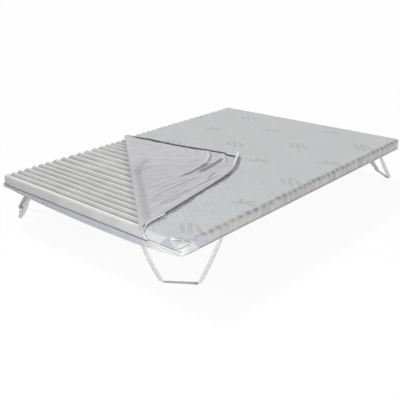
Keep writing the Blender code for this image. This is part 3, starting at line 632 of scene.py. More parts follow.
def outward(piece):
    """Turns the faces of a closed mesh outwards."""
    work = bmesh.new()
    work.from_mesh(piece.data)
    bmesh.ops.recalc_face_normals(work, faces=work.faces)
    work.to_mesh(piece.data)
    work.free()
    return piece


def face_towards(piece, way, faces=slice(None)):
    """Turns a cloth over if its faces, or a few of them, look away from a direction."""
    normals = np.array([p.normal for p in piece.data.polygons])[faces]
    if normals.sum(axis=0) @ np.asarray(way, float) < 0:
        piece.data.flip_normals()
    return piece


def settle(piece):
    """Puts a piece's modifiers into its mesh."""
    graph = bpy.context.evaluated_depsgraph_get()
    graph.update()
    made = bpy.data.meshes.new_from_object(piece.evaluated_get(graph), preserve_all_data_layers=True,
                                           depsgraph=graph)
    piece.modifiers.clear()
    old = piece.data
    piece.data = made
    bpy.data.meshes.remove(old)
    made.name = piece.name
    return piece


def thicken(piece, thickness, offset=-1.0):
    """Gives a cloth its thickness: at -1 on the side away from its faces, at 0 on both sides."""
    modifier = piece.modifiers.new("Cloth thickness", "SOLIDIFY")
    modifier.thickness = thickness
    modifier.offset = offset
    modifier.use_even_offset = False
    return settle(piece)


def soften(piece, width):
    """Rounds the edges of a hard piece."""
    modifier = piece.modifiers.new("Rounded edges", "BEVEL")
    modifier.width = width
    modifier.segments = 2
    modifier.limit_method = "ANGLE"
    return settle(piece)


def bead_tree():
    """Geometry nodes that set small beads at even steps along a line."""
    tree = bpy.data.node_groups.new("Beads along a line", "GeometryNodeTree")
    tree.interface.new_socket("Geometry", in_out="INPUT", socket_type="NodeSocketGeometry")
    for label in ("Pitch", "Length", "Depth", "Height"):
        socket = tree.interface.new_socket(label, in_out="INPUT", socket_type="NodeSocketFloat")
        socket.min_value = 0.0001
        socket.default_value = 0.002
    tree.interface.new_socket("Material", in_out="INPUT", socket_type="NodeSocketMaterial")
    tree.interface.new_socket("Geometry", in_out="OUTPUT", socket_type="NodeSocketGeometry")

    def add(kind, **settings):
        made = tree.nodes.new(kind)
        for word, value in settings.items():
            setattr(made, word, value)
        return made

    given = add("NodeGroupInput")
    line = add("GeometryNodeMeshToCurve")
    stepped = add("GeometryNodeResampleCurve", mode="LENGTH")
    bead = add("GeometryNodeMeshIcoSphere")
    bead.inputs["Subdivisions"].default_value = 1
    bead.inputs["Radius"].default_value = 0.5
    size = add("ShaderNodeCombineXYZ")
    tangent = add("GeometryNodeInputTangent")
    ahead = add("FunctionNodeAlignRotationToVector", axis="X")
    upright = add("FunctionNodeAlignRotationToVector", axis="Z", pivot_axis="X")
    upright.inputs["Vector"].default_value = (0.0, 0.0, 1.0)
    placed = add("GeometryNodeInstanceOnPoints")
    real = add("GeometryNodeRealizeInstances")
    smooth = add("GeometryNodeSetShadeSmooth")
    painted = add("GeometryNodeSetMaterial")
    result = add("NodeGroupOutput")
    for source, out, target, into in (
            (given, "Geometry", line, 0), (line, 0, stepped, "Curve"), (given, "Pitch", stepped, "Length"),
            (given, "Length", size, 0), (given, "Depth", size, 1), (given, "Height", size, 2),
            (tangent, 0, ahead, "Vector"), (ahead, 0, upright, "Rotation"), (stepped, 0, placed, "Points"),
            (bead, 0, placed, "Instance"), (upright, 0, placed, "Rotation"), (size, 0, placed, "Scale"),
            (placed, 0, real, 0), (real, 0, smooth, "Geometry"), (smooth, 0, painted, "Geometry"),
            (given, "Material", painted, "Material"), (painted, 0, result, 0)):
        tree.links.new(source.outputs[out], target.inputs[into])
    return tree


def beads(name, lines, slot, pitch, length, depth, height):
    """Small beads along one or more lines of points, such as zip teeth or stitches."""
    points, edges = [], []
    for line in lines:
        start = len(points)
        points += [tuple(p) for p in line]
        edges += [(start + i, start + i + 1) for i in range(len(line) - 1)]
    mesh = bpy.data.meshes.new(name)
    mesh.from_pydata(points, edges, [])
    made = bpy.data.objects.new(name, mesh)
    bpy.context.scene.collection.objects.link(made)
    tree = bpy.data.node_groups.get("Beads along a line") or bead_tree()
    modifier = made.modifiers.new("Beads", "NODES")
    modifier.node_group = tree
    given = {"Pitch": pitch, "Length": length, "Depth": depth, "Height": height, "Material": look_of(slot)}
    for item in tree.interface.items_tree:
        if item.item_type == "SOCKET" and item.in_out == "INPUT" and item.name in given:
            modifier[item.identifier] = given[item.name]
    settle(made)
    made.data.materials.clear()
    made.data.materials.append(look_of(slot))
    return made


def ribbon_piece(name, centre, out, across, width, slot, thickness, lanes, crown, marks):
    """A band with a rounded face, from its middle line and the ways out of its face and across it."""
    shares = np.linspace(-0.5, 0.5, lanes)
    run = lengths_along(centre)
    points = (centre[:, None] + across[:, None] * (width * shares)[:, None]
              + out[:, None] * (crown * (1.0 - 4.0 * shares ** 2))[None, :, None])
    cloth = np.stack(np.broadcast_arrays((shares[None, :] + 0.5) * width, run[:, None]), axis=-1)
    marks = {word: np.full(points.shape[:-1], value) for word, value in marks.items()}
    made = add_piece(name, points, grid_faces(len(centre), lanes), slot, cloth, marks)
    return thicken(face_towards(made, out.sum(0)), thickness)


# The foam slab


# Radius of the slab's lower edges, the heights between which its nose is straight and how far it leans
# there, and radii of its sides seen from the end and of its corners seen from above
FOOT_ROUND = 0.005
NOSE_LOW, NOSE_HIGH = 0.022, 0.030
NOSE_SLANT = 0.0005
SIDE_ROUND = 0.016
PLAN_ROUND = 0.030


def rib_lines():
    """Places of crests and grooves along the length, as in the CAD model."""
    pitches = [pitch for pitch, count in RIB_ZONES for _ in range(count)]
    room = 2 * HALF_Y - 2 * (KNIT + LINING + 2 * GAP + NOSE)
    stretch = room / sum(pitches)
    y, crests, grooves = -room / 2, [-room / 2], []
    for pitch in pitches:
        grooves.append(y + pitch * stretch / 2)
        y += pitch * stretch
        crests.append(y)
    return np.array(crests), np.array(grooves)


CRESTS, GROOVES = rib_lines()


def rib_low(y):
    """0 on a crest and 1 in a groove."""
    places = np.sort(np.concatenate([CRESTS, GROOVES]))
    return np.interp(y, places, np.arange(len(places)) % 2.0, left=0.0, right=0.0)


def nose_profile():
    """The slab's end from its underside to its first crest: (y, z, groove share)."""
    low, half = FOAM_LOW.z, FOAM_HIGH.y
    rise = FOAM_HIGH.z - low - NOSE_HIGH
    nose = []
    # The third value paints shade on the nose, as on a rib's flank
    for turn in np.linspace(0.0, 1.0, 7) * QUARTER:
        y = -half + FOOT_ROUND * (1 - math.sin(turn))
        nose.append((y, low + FOOT_ROUND * (1 - math.cos(turn)), 0.3))
    nose += [(-half, low + NOSE_LOW, 0.24), (-half + NOSE_SLANT, low + NOSE_HIGH, 0.22)]
    for share in np.linspace(0.08, 1.0, 12):
        turn = share * QUARTER
        y = -half + NOSE_SLANT + (CRESTS[0] + half - NOSE_SLANT) * (1 - math.cos(turn))
        nose.append((y, low + NOSE_HIGH + rise * math.sin(turn) ** 0.9, 0.22 * (1 - share) ** 0.5))
    return nose


def slab_profile():
    """The slab's outline along the length: (y, z, groove share), front underside to back underside."""
    nose = nose_profile()
    body = []
    for crest, groove, following in zip(CRESTS, GROOVES, CRESTS[1:]):
        for start, stop, falling in ((crest, groove, True), (groove, following, False)):
            for share in np.linspace(0.0, 1.0, 9)[1:]:
                t = share if falling else 1.0 - share
                drop = sizes().rib_depth * t ** 1.5 * (1.0 - 0.06 * t ** 12)
                body.append((start + (stop - start) * share, FOAM_HIGH.z - drop, t))
    back = [(-y, z, m) for y, z, m in reversed(nose[:-1])]
    return np.array(nose + body + back)


class TOPPER_OT_foam(bpy.types.Operator):
    """Make the ribbed foam slab"""

    bl_idname = "topper.foam"
    bl_label = "Foam slab"

    def execute(self, context):
        profile = slab_profile()
        side, half = FOAM_HIGH.x, FOAM_HIGH.y
        low, top = FOAM_LOW.z, FOAM_HIGH.z
        ends = SIDE_ROUND * (1.0 - np.sin(np.linspace(0.0, QUARTER, 10)))
        from_end = np.concatenate([np.sort(ends), np.linspace(SIDE_ROUND, side, 26)[1:]])
        columns = np.concatenate([-side + from_end, (side - from_end)[::-1][1:]])
        near = np.minimum(side - np.abs(columns), PLAN_ROUND)
        rounded = np.maximum(SIDE_ROUND - near, 0.0)
        fall = SIDE_ROUND - np.sqrt(np.maximum(SIDE_ROUND ** 2 - rounded ** 2, 0.0))
        pull = PLAN_ROUND - np.sqrt(np.maximum(PLAN_ROUND ** 2 - (PLAN_ROUND - near) ** 2, 0.0))
        shape = (len(profile), len(columns))
        x = np.broadcast_to(columns[None, :], shape).copy()
        y, z, groove = (np.broadcast_to(values[:, None], shape).copy() for values in profile.T)
        at_nose = np.maximum(np.abs(y) - (half - 0.067), 0.0) / 0.067
        y = y - np.sign(y) * pull[None, :] * at_nose
        upper = (z - low) / (top - low)
        foot = low + 0.009 * np.clip(1 - near / SIDE_ROUND, 0, 1)[None, :]
        z = np.maximum(np.minimum(z, top - fall[None, :]), foot)
        inside = even(near / PLAN_ROUND)[None, :] * even((half - np.abs(y)) / 0.05)
        y = y + ripple(x * 3.1, y * 9.0, 3) * 0.0022 * inside
        z = z - hills(x * 4.0, y * 12.0, 4) * 0.0010 * even(upper) * inside
        squeeze = groove * np.clip(1 - near / 0.022, 0, 1)[None, :]
        x = x - np.sign(x) * squeeze * 0.0080 * even((z - low - 0.012) / 0.02)
        rows, width = shape
        first, last = [i * width for i in range(rows)], [i * width + width - 1 for i in range(rows)]
        under = list(range(width)) + [last[-1] - i for i in range(width)]
        faces = grid_faces(rows, width) + [tuple(first), tuple(reversed(last)), tuple(under)]
        slab = outward(add_piece("foam_slab", np.stack([x, y, z], axis=-1), faces, "foam",
                                 marks={"rib_low": groove}))
        fit(slab, ROOT, "foam_core")
        return {"FINISHED"}


# The closed part of the cover


def past_inner(u, v):
    """How far a place lies past the cover's flat middle, across and along."""
    return np.maximum(np.abs(u) - INNER_X, 0), np.maximum(np.abs(v) - INNER_Y, 0)


def side_places(inner, step):
    """Places across the cloth: down one wall, over the top and down the other."""
    flat = np.linspace(0.0, FLAT_RUN, 3)[1:]
    arc = np.linspace(FLAT_RUN, WALL_START, 8)[1:]
    wall = np.linspace(WALL_START, WALL_START + 1.0, 6)[1:]
    outer = np.concatenate([flat, arc, wall])
    middle = np.linspace(-inner, inner, int(2 * inner / step) + 2)
    return np.concatenate([-inner - outer[::-1], middle, inner + outer])


def dent_share(u, v):
    """0 where the cover lies smooth over the slab's edge and 1 where it sinks in between two ribs."""
    run, beside = past_inner(u, v)
    on_side = even((run / np.maximum(np.hypot(run, beside), TINY) - 0.75) / 0.2)
    side = np.sign(u)
    groove = rib_low(v + 0.006 * ripple(v * 9.0, side * 3.0, 10)) ** 1.5
    uneven = 0.72 + 0.28 * ripple(v * 17.0, side * 5.0, 11)
    middle = 0.012 + 0.006 * ripple(v * 23.0, side * 7.0, 16)
    return bell(run - FLAT_RUN - middle, 0.014) * groove * on_side * uneven


def drape(u, v, depth):
    """Points of a cloth at a depth under the cover's face, from its flat directions; walls run 0 to 1."""
    a, b = past_inner(u, v)
    run, length = np.maximum(a, b), np.hypot(a, b)
    way_x = np.where(length > 0, np.sign(u) * a / np.maximum(length, TINY), 0.0)
    way_y = np.where(length > 0, np.sign(v) * b / np.maximum(length, TINY), 0.0)
    down = np.clip(run - WALL_START, 0.0, 1.0)
    over = np.minimum(run, WALL_START)
    arc = np.clip((over - FLAT_RUN) / EDGE, 0.0, QUARTER)
    out = np.where(over < FLAT_RUN, over, FLAT_RUN + (EDGE - depth) * np.sin(arc)) - down * 0.0012
    height = WALL_TOP + (EDGE - depth) * np.cos(arc)
    foot = HEM_Z + (SEAM_Z - HEM_Z) * even((way_x - 0.25) / 0.3)
    height = height - down * (height - foot)
    base_x, base_y = np.clip(u, -INNER_X, INNER_X), np.clip(v, -INNER_Y, INNER_Y)

    edge = run - FLAT_RUN
    around = base_x + base_y
    dent = sizes().edge_dent * dent_share(u, v)
    sway = 0.0010 * hills(around * 9.0, down * 1.4, 12) * even(edge / 0.03)
    hang = 0.0011 * hills(around * 14.0, 0.0, 13) * down
    turn = np.clip(edge / EDGE, 0, QUARTER)
    inward = dent * np.sin(turn) + sway + hang
    x, y = base_x + way_x * (out - inward), base_y + way_y * (out - inward)
    flat_part = 1.0 - even((run - 0.004) / 0.02)
    near_tip = bell(x - 0.62, 0.10) * bell(y + 0.92, 0.09)
    crumple = near_tip * hills((x + y) * 34.0, (x - y) * 12.0, 15)
    billow = hills(x * 5.0 + 0.3 * y, y * 5.0, 14)
    sink = flat_part * (0.0009 * billow + 0.0008 * rib_low(y) + 0.0020 * crumple)
    sink += dent * np.cos(turn) * 0.8
    return np.stack([x, y, height - sink], axis=-1)


def flat_length(places, inner):
    """Places across the cloth with the walls, which run 0 to 1, at their true height."""
    beyond = np.maximum(np.abs(places) - inner - WALL_START, 0.0)
    return np.sign(places) * (np.abs(places) - beyond + beyond * (WALL_TOP - 0.010))


def cut_at_fold(piece):
    """Cuts a cloth off along the fold."""
    work = bmesh.new()
    work.from_mesh(piece.data)
    place = Vector((*(LEFT_FOLD + ASIDE * GAP), 0.0))
    bmesh.ops.bisect_plane(work, geom=work.verts[:] + work.edges[:] + work.faces[:], dist=1e-7,
                           plane_co=place, plane_no=Vector((*ASIDE, 0.0)), clear_inner=True)
    work.to_mesh(piece.data)
    work.free()
    return piece


def closed_cloth(name, slot, depth, thickness, steps):
    """One cloth of the closed cover, draped over the slab."""
    us, vs = side_places(INNER_X, steps[0]), side_places(INNER_Y, steps[1])
    u, v = np.meshgrid(us, vs)
    flat = np.stack([flat_length(u, INNER_X), flat_length(v, INNER_Y)], axis=-1)
    # Marks for painted shade on the right wall, painted light on the front wall and painted shade in the
    # dents
    wall = even((u - (HALF_X - EDGE) - 0.006) / 0.012)
    front = even((-v - (HALF_Y - EDGE) - 0.004) / 0.016) * (1.0 - wall)
    marks = {"from_edge": np.ones(u.shape), "dent": dent_share(u, v), "wall": wall, "front": front}
    piece = add_piece(name, drape(u, v, depth), grid_faces(len(vs), len(us)), slot, flat, marks)
    return thicken(face_towards(cut_at_fold(piece), UP), thickness)


class TOPPER_OT_cover(bpy.types.Operator):
    """Make the closed part of the cover: the knit, its lining and the seam of the sewn side"""

    bl_idname = "topper.cover"
    bl_label = "Closed cover"

    def execute(self, context):
        knit = closed_cloth("cover_knit", "knit", 0.0, KNIT, (0.020, 0.0075))
        fit(knit, ROOT, "cover_top_panel")
        lining = closed_cloth("cover_lining", "lining", LINING_DEPTH, LINING, (0.040, 0.012))
        fit(lining, ROOT, "cover_top_lining")
        seam = [(HALF_X - 0.0006, y, SEAM_Z + 0.0030) for y in np.linspace(-INNER_Y, INNER_Y, 400)]
        stitch = sizes().stitch
        stitches = beads("cover_seam_stitches", [seam], "thread", stitch * 1.5, stitch, 0.0011, 0.0008)
        fit(stitches, ROOT)
        return {"FINISHED"}


# The folded-back corner


def reach_of(along):
    """How far the folded corner reaches out from the fold."""
    soft = 0.010 * SPAN
    left = along * TIP_OUT / TIP_ALONG
    right = (SPAN - along) * TIP_OUT / (SPAN - TIP_ALONG)
    wide, rise = TIP_RIGHT[0] - TIP_LEFT[0], TIP_RIGHT[1] - TIP_LEFT[1]
    blunt = TIP_LEFT[1] + (along - TIP_LEFT[0]) * rise / wide
    sides = np.stack([left, right, blunt])
    least = sides.min(axis=0)
    return least - soft * np.log(np.exp((least - sides) / soft).sum(axis=0))


def away_from(along, out, line):
    """The signed distance from a line of points given along the fold and out from it, and the share run."""
    best, best_share = np.full(np.shape(along), 1e9), np.zeros(np.shape(along))
    lengths = [math.dist(p, q) for p, q in zip(line, line[1:])]
    done = 0.0
    for p, q, length in zip(line, line[1:], lengths):
        dx, dy = q[0] - p[0], q[1] - p[1]
        t = np.clip(((along - p[0]) * dx + (out - p[1]) * dy) / length ** 2, 0, 1)
        away = np.hypot(along - p[0] - t * dx, out - p[1] - t * dy)
        side = np.sign(dx * (out - p[1]) - dy * (along - p[0]))
        closer = away < np.abs(best)
        best = np.where(closer, away * np.where(side < 0, -1, 1), best)
        best_share = np.where(closer, (done + t * length) / sum(lengths), best_share)
        done += length
    return best, best_share


# Ridges of the folded cloth: the line, its height and how wide its gentle and its steep side are
FOLD_FEATURES = (
    (((0.662, 0.149), (0.680, 0.085), (0.720, 0.043), (0.780, 0.012)), 0.0045, 0.007, 0.016),
    (((0.868, 0.238), (0.815, 0.305), (0.735, 0.378), (0.671, 0.445)), 0.0075, 0.013, 0.007),
    (((0.815, 0.345), (0.759, 0.408), (0.696, 0.464), (0.614, 0.531)), 0.0105, 0.011, 0.009),
    (((0.741, 0.366), (0.673, 0.422), (0.564, 0.461), (0.457, 0.472)), 0.0065, 0.015, 0.008),
    (((0.698, 0.529), (0.609, 0.544), (0.523, 0.551)), 0.0045, 0.012, 0.007),
    (((0.935, 0.379), (0.872, 0.416), (0.835, 0.445)), 0.0050, 0.008, 0.006),
    (((1.190, 0.120), (1.147, 0.169), (1.105, 0.209)), 0.0036, 0.007, 0.005),
    (((1.210, 0.150), (1.172, 0.191), (1.142, 0.219)), 0.0036, 0.006, 0.005),
    (((0.451, 0.331), (0.360, 0.337)), 0.0026, 0.014, 0.008),
    (((0.473, 0.388), (0.403, 0.392)), 0.0030, 0.013, 0.008),
    (((0.534, 0.430), (0.437, 0.442)), 0.0026, 0.013, 0.008),
    (((1.276, 0.054), (1.166, 0.162), (1.022, 0.308), (0.907, 0.427), (0.817, 0.510)), 0.0034, 0.012, 0.007),
    (((1.172, 0.043), (1.051, 0.149), (0.925, 0.284), (0.858, 0.359)), 0.0032, 0.012, 0.007),
    (((1.071, 0.070), (0.968, 0.183), (0.880, 0.301)), 0.0028, 0.012, 0.007),
    (((0.982, 0.088), (0.917, 0.162), (0.868, 0.238)), 0.0024, 0.012, 0.007),
    (((1.365, 0.070), (1.230, 0.180), (1.080, 0.305), (0.960, 0.410)), 0.0024, 0.009, 0.006),
    (((0.166, 0.029), (0.221, 0.139), (0.332, 0.253)), 0.0016, 0.012, 0.008),
)
# Where the far zip lies on the folded cloth; beyond it the wall's outer cloth shows
FOLD_ZIP_ALONG = (0.0, 0.024, 0.135, 0.276, 0.398, 0.502, 0.581, 0.609)
FOLD_ZIP_OUT = (0.0, 0.011, 0.146, 0.291, 0.430, 0.534, 0.585, 0.603)


def lower_edge(along, out):
    """How far in from the flap's lower edge a point lies, and how far along that edge."""
    start, stop = np.array(TIP_RIGHT), np.array([SPAN, 0.0])
    run = (stop - start) / np.linalg.norm(stop - start)
    dx, dy = along - start[0], out - start[1]
    return dx * run[1] - dy * run[0], dx * run[0] + dy * run[1]


def upper_edge(along, out):
    """The same for the upper edge."""
    run = np.array(TIP_LEFT) / np.linalg.norm(TIP_LEFT)
    return along * run[1] - out * run[0], along * run[0] + out * run[1]


def zip_out(along):
    """How far out from the fold the far zip lies; past its end, farther out than the cloth."""
    return np.where(along > FOLD_ZIP_ALONG[-1], 1.0, np.interp(along, FOLD_ZIP_ALONG, FOLD_ZIP_OUT))


# Small ridges and dips beside the flap's near edge: how far in, how wide and how high
EDGE_RIDGES = ((0.050, 0.0050, 1.7), (0.036, 0.004, -0.9), (0.020, 0.005, 0.8), (0.074, 0.006, 0.9),
               (0.096, 0.008, -0.8))


def fold_fade(share):
    """1 along a ridge and less towards its two ends."""
    return even(share / 0.25 + 0.35) * even((1 - share) / 0.25 + 0.35)


def lift_of(along, out):
    """Height of the folded cloth's underside over the closed cover."""
    reach = reach_of(along)
    near_edge = 1 - even((reach - out) / 0.048)
    pressed = even((along - 0.66) / 0.14)
    fall = 1 - even((out - 0.002) / (0.110 - 0.080 * pressed))
    lift = 0.0066 + (2 * ROLL - 0.0066) * fall
    lift = lift - (0.0030 + 0.0014 * pressed) * (1 - near_edge) * (1 - fall)
    lift = lift + TIP_RISE * even((out / TIP_OUT - 0.50) / 0.36)
    free = even(out / 0.016) * even((reach - out) / 0.026)
    for line, height, gentle, steep in FOLD_FEATURES:
        away, share = away_from(along, out, line)
        width = np.where(away > 0, gentle, steep)
        lift = lift + 1.15 * free * height * bell(away, width) * fold_fade(share)
    crease = sizes().crease
    inside, run = lower_edge(along, out)
    seam_free = even(out / 0.012) * even(inside / 0.004)
    broken = 0.55 + 0.45 * ripple(run * 8.0, inside * 20.0, 21)
    for place, width, height in EDGE_RIDGES:
        wander = 0.004 * ripple(run * 6.0, place * 90.0, 22)
        lift = lift + seam_free * crease * height * broken * bell(inside - place - wander, width)
    right_half = even((along - 0.62) / 0.25) * even(out / 0.03)
    lift = lift + right_half * free * crease * 0.75 * ripple(inside * 62.0, run * 7.0, 23)
    lift = lift + free * crease * 0.8 * ripple(along * 16.0, out * 16.0, 24)
    above, up_run = upper_edge(along, out)
    pleats = bell(above, 0.060) * even(above / 0.004)
    lift = lift + pleats * free * crease * 1.3 * ripple(up_run * 30.0 - above * 14.0, above * 5.0, 25)
    lift = lift - 0.0025 * even((out - zip_out(along)) / 0.008)
    return np.maximum(lift, 0.0009)


def fold_shades(along, out):
    """Painted shade on the steep side of the folds and painted highlight on the side that meets the light.
    """
    dark, light = np.zeros(along.shape), np.zeros(along.shape)
    for line, height, gentle, steep in FOLD_FEATURES:
        away, share = away_from(along, out, line)
        fade = fold_fade(share) * min(height / 0.0060, 1.0)
        dark = np.maximum(dark, fade * bell(away + 0.95 * steep, 0.80 * steep))
        light = np.maximum(light, fade * bell(away - 0.35 * gentle, 0.55 * gentle))
    # Painted shade in the valley beside the roll of the fold
    beside = 0.036 + 0.055 * bell(along - 0.54, 0.09)
    dark = np.maximum(dark, 0.58 * bell(out - beside, 0.021) * even((along - 0.48) / 0.10))
    # Painted shade, darker towards the front end of the fold
    dark = np.maximum(dark, 0.17 * even((along - 0.45) / 0.35))
    return dark, light * (1.0 - dark)


def over_edge(inset, height):
    """Round the cover's top edge: how far in, how high, and whether a place is past the flat top."""
    past = np.maximum(EDGE - inset, 0.0)
    turn = np.minimum(past / EDGE, QUARTER)
    more = np.maximum(past - EDGE * QUARTER, 0.0)
    radius = EDGE + height
    return EDGE - radius * np.sin(turn), WALL_TOP + radius * np.cos(turn) - more, past > 0


def over_cover(along, out, height):
    """Points over the closed cover, round its front and left top edge where the fold runs off it."""
    plan = LEFT_FOLD + along[..., None] * ALONG + out[..., None] * ASIDE
    from_left, left_z, past_left = over_edge(plan[..., 0] + HALF_X, height)
    from_front, front_z, past_front = over_edge(plan[..., 1] + HALF_Y, height)
    x = np.where(past_left, -HALF_X + from_left, plan[..., 0])
    y = np.where(past_front, -HALF_Y + from_front, plan[..., 1])
    z = np.where(past_front, front_z, np.where(past_left, left_z, TOP + height))
    return np.stack([x, y, z], axis=-1)


def spot_over_cover(spot, height):
    """One such point, from its place along the fold and out from it."""
    return over_cover(np.array(spot[:1]), np.array(spot[1:]), np.array([height]))[0]


def folded_cloth(name, slot, radius, under, thickness, columns, rows):
    """One cloth of the folded corner: round the roll of the fold and out to the free edge."""
    places = np.linspace(-0.010, SPAN + 0.022, columns)
    turns = np.radians(np.linspace(-90.0, -270.0, 13))
    shares = np.linspace(0.0, 1.0, rows + 1)[1:] ** 0.92
    outer = under + thickness
    along_rows, out_rows, high_rows = [], [], []
    for turn in turns:
        along_rows.append(places)
        out_rows.append(np.full(columns, -GAP) + (radius + thickness) * math.cos(turn))
        high_rows.append(np.full(columns, ROLL) + (radius + thickness) * math.sin(turn))
    inside = np.clip(places, 0.012, SPAN - 0.012)
    reach = np.maximum(reach_of(inside), 0.006)
    for share in shares:
        out = reach * share
        droop = 0.0022 * even((out - reach + 0.010) / 0.010) * even(reach / 0.05)
        along_rows.append(places)
        out_rows.append(out)
        high_rows.append(lift_of(inside, out) + outer - droop)
    along, out, high = (np.array(r) for r in (along_rows, out_rows, high_rows))
    narrow = 1.0 - 0.45 * even((along - SPAN + 0.015) / 0.035) - 0.45 * even((0.012 - along) / 0.022)
    rolled = np.arange(len(along))[:, None] < len(turns)
    high = np.where(rolled, ROLL + (high - ROLL) * narrow, high * narrow)
    points = over_cover(along, out, high)
    unfolded = LEFT_FOLD + along[..., None] * ALONG - out[..., None] * ASIDE
    rim = np.minimum(np.abs(lower_edge(along, out)[0]), 1.0)
    # The folds' painted shade and painted highlight go into the marks
    dark, light = fold_shades(along, out)
    beyond = even((out - zip_out(along)) / 0.005)
    marks = {"from_edge": rim, "painted_fold_shade": dark, "painted_fold_highlight": light, "beyond_zip": beyond}
    piece = add_piece(name, points, grid_faces(len(along), columns), slot, unfolded, marks)
    return thicken(face_towards(piece, UP, slice(14 * columns + 1, None)), thickness)


def blend_over_fold(piece):
    """Bakes a cloth's place into its mesh."""
    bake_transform(piece)


def run_share(along, out):
    """How far along a line of the folded cloth each point lies, from 0 to 1."""
    steps = np.hypot(np.diff(along), np.diff(out))
    return np.concatenate([[0.0], np.cumsum(steps)]) / steps.sum()


def inward_ways(along, out):
    """The ways towards the fold at right angles to a line on the folded cloth."""
    ways = np.stack([np.gradient(out, along), -np.ones(len(along))], axis=-1)
    return ways / np.linalg.norm(ways, axis=1, keepdims=True)


def edge_line(start, stop, count):
    """Places on the flap's free edge with the way inwards, in the fold's own directions."""
    along = np.linspace(start, stop, count)
    reach = reach_of(along)
    return along, reach, inward_ways(along, reach)


EDGE_SPANS = {"side": (0.030, TIP_LEFT[0] - 0.0012), "tip": (TIP_LEFT[0], TIP_RIGHT[0]),
              "front": (TIP_RIGHT[0] + 0.0012, SPAN - 0.085)}


def tucked_wall(word):
    """The side wall of the folded corner, folded in under its edge."""
    along, reach, inward = edge_line(*EDGE_SPANS[word], 90 if word != "tip" else 30)
    sections = []
    for place, out, way in zip(along, reach, inward):
        edge = np.array([place, out])
        lifts = []
        for inset in (0.0004, 0.0240):
            spot = (edge + way * inset)[:, None]
            lifts.append(lift_of(spot[0], np.minimum(spot[1], reach_of(spot[0])))[0])
        high = max(min(lifts) - GAP, 0.0032)
        wave = 0.0008 * float(ripple(place * 30.0, out * 30.0, 31))
        low = 2 * GAP
        middle, half = (high + low) / 2, (high - low) / 2
        section = []
        for turn in np.linspace(QUARTER, 3 * QUARTER, 8):
            inset = 0.0004 + min(half, 0.006) * (1 + math.cos(turn)) + wave
            section.append((inset, middle + half * math.sin(turn)))
        section += [(0.0235, low), (0.0240, middle), (0.0235, high)]
        sections.append([spot_over_cover(edge + way * inset, level) for inset, level in section])
    points, faces = capped_tube(sections)
    cloth = np.stack(np.meshgrid(np.linspace(0, 0.05, len(sections[0])), along), axis=-1)[..., ::-1]
    return outward(add_piece("flap_tucked_wall_" + word, points, faces, "knit", cloth))


class TOPPER_OT_flap(bpy.types.Operator):
    """Make the folded-back corner of the cover"""

    bl_idname = "topper.flap"
    bl_label = "Folded-back corner"

    def execute(self, context):
        lining = folded_cloth("flap_lining_cloth", "lining", ROLL + LINING_DEPTH, LINING_DEPTH, LINING,
                              270, 132)
        knit = folded_cloth("flap_knit_cloth", "knit", ROLL, 0.0, KNIT, 190, 64)
        for cloth, nodes in ((lining, ("flap_lining", "cover_fold_lining")),
                             (knit, ("flap_panel", "cover_fold_knit"))):
            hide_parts(*nodes)
            blend_over_fold(cloth)
        for word in EDGE_SPANS:
            wall = tucked_wall(word)
            fit(wall, FLAP, "flap_wall_" + word)
        hem = self.corner_hem()
        fit(hem, FLAP, "flap_corner_hem")
        return {"FINISHED"}

    def corner_hem(self):
        """The hem tape that stands up along the blunt tip."""
        along, reach, inward = edge_line(0.495, 0.800, 90)
        base = lift_of(along, reach - 0.0005) + LINING_DEPTH + LINING
        shares = np.linspace(0.0, 1.0, len(along))
        ends = even(shares / 0.20) * even((1 - shares) / 0.20)
        wides = 0.0012 + 0.0040 * ends
        highs = 0.0010 + 0.0030 * ends + 0.0004 * ripple(along * 40.0, 0.0, 33)
        sections = []
        for place, out, way, low, wide, high in zip(along, reach, inward, base, wides, highs):
            section = []
            for turn in np.linspace(0, 2 * math.pi, 12, endpoint=False):
                spot = np.array([place, out]) + way * (wide * math.cos(turn) + 0.0030)
                section.append(spot_over_cover(spot, low + high * (0.75 + math.sin(turn))))
            sections.append(section)
        points, faces = capped_tube(sections)
        cloth = np.stack(np.meshgrid(np.linspace(0, 0.012, 12), along), axis=-1)[..., ::-1]
        marks = {"whiter_share": np.ones(cloth.shape[:-1])}
        return outward(add_piece("flap_corner_hem_tape", points, faces, "tape", cloth, marks))


# The underside, the hanging band and the zip


# How far apart the places along the straight sides are, about
PATH_STEP = 0.012


def corner_points(sign_x, sign_y, start, backwards=False):
    """Places round one corner of the outline: (x, y, outward x, outward y)."""
    centre_x, centre_y = sign_x * INNER_X, sign_y * INNER_Y
    made = []
    for turn in np.radians(np.linspace(start, start + 90.0, 9)):
        made.append((centre_x + CORNER * math.cos(turn), centre_y + CORNER * math.sin(turn),
                     math.cos(turn), math.sin(turn)))
    return made[::-1] if backwards else made


def straight(start, stop, outward_way):
    """Places along one straight side."""
    count = max(int(math.dist(start, stop) / PATH_STEP), 1) + 1
    xs, ys = np.linspace(start[0], stop[0], count), np.linspace(start[1], stop[1], count)
    return [(x, y, *outward_way) for x, y in zip(xs, ys)]


def near_lead():
    """Places round the start of the near corner, where the band runs out."""
    return corner_points(1, -1, 270)[1:6][::-1]


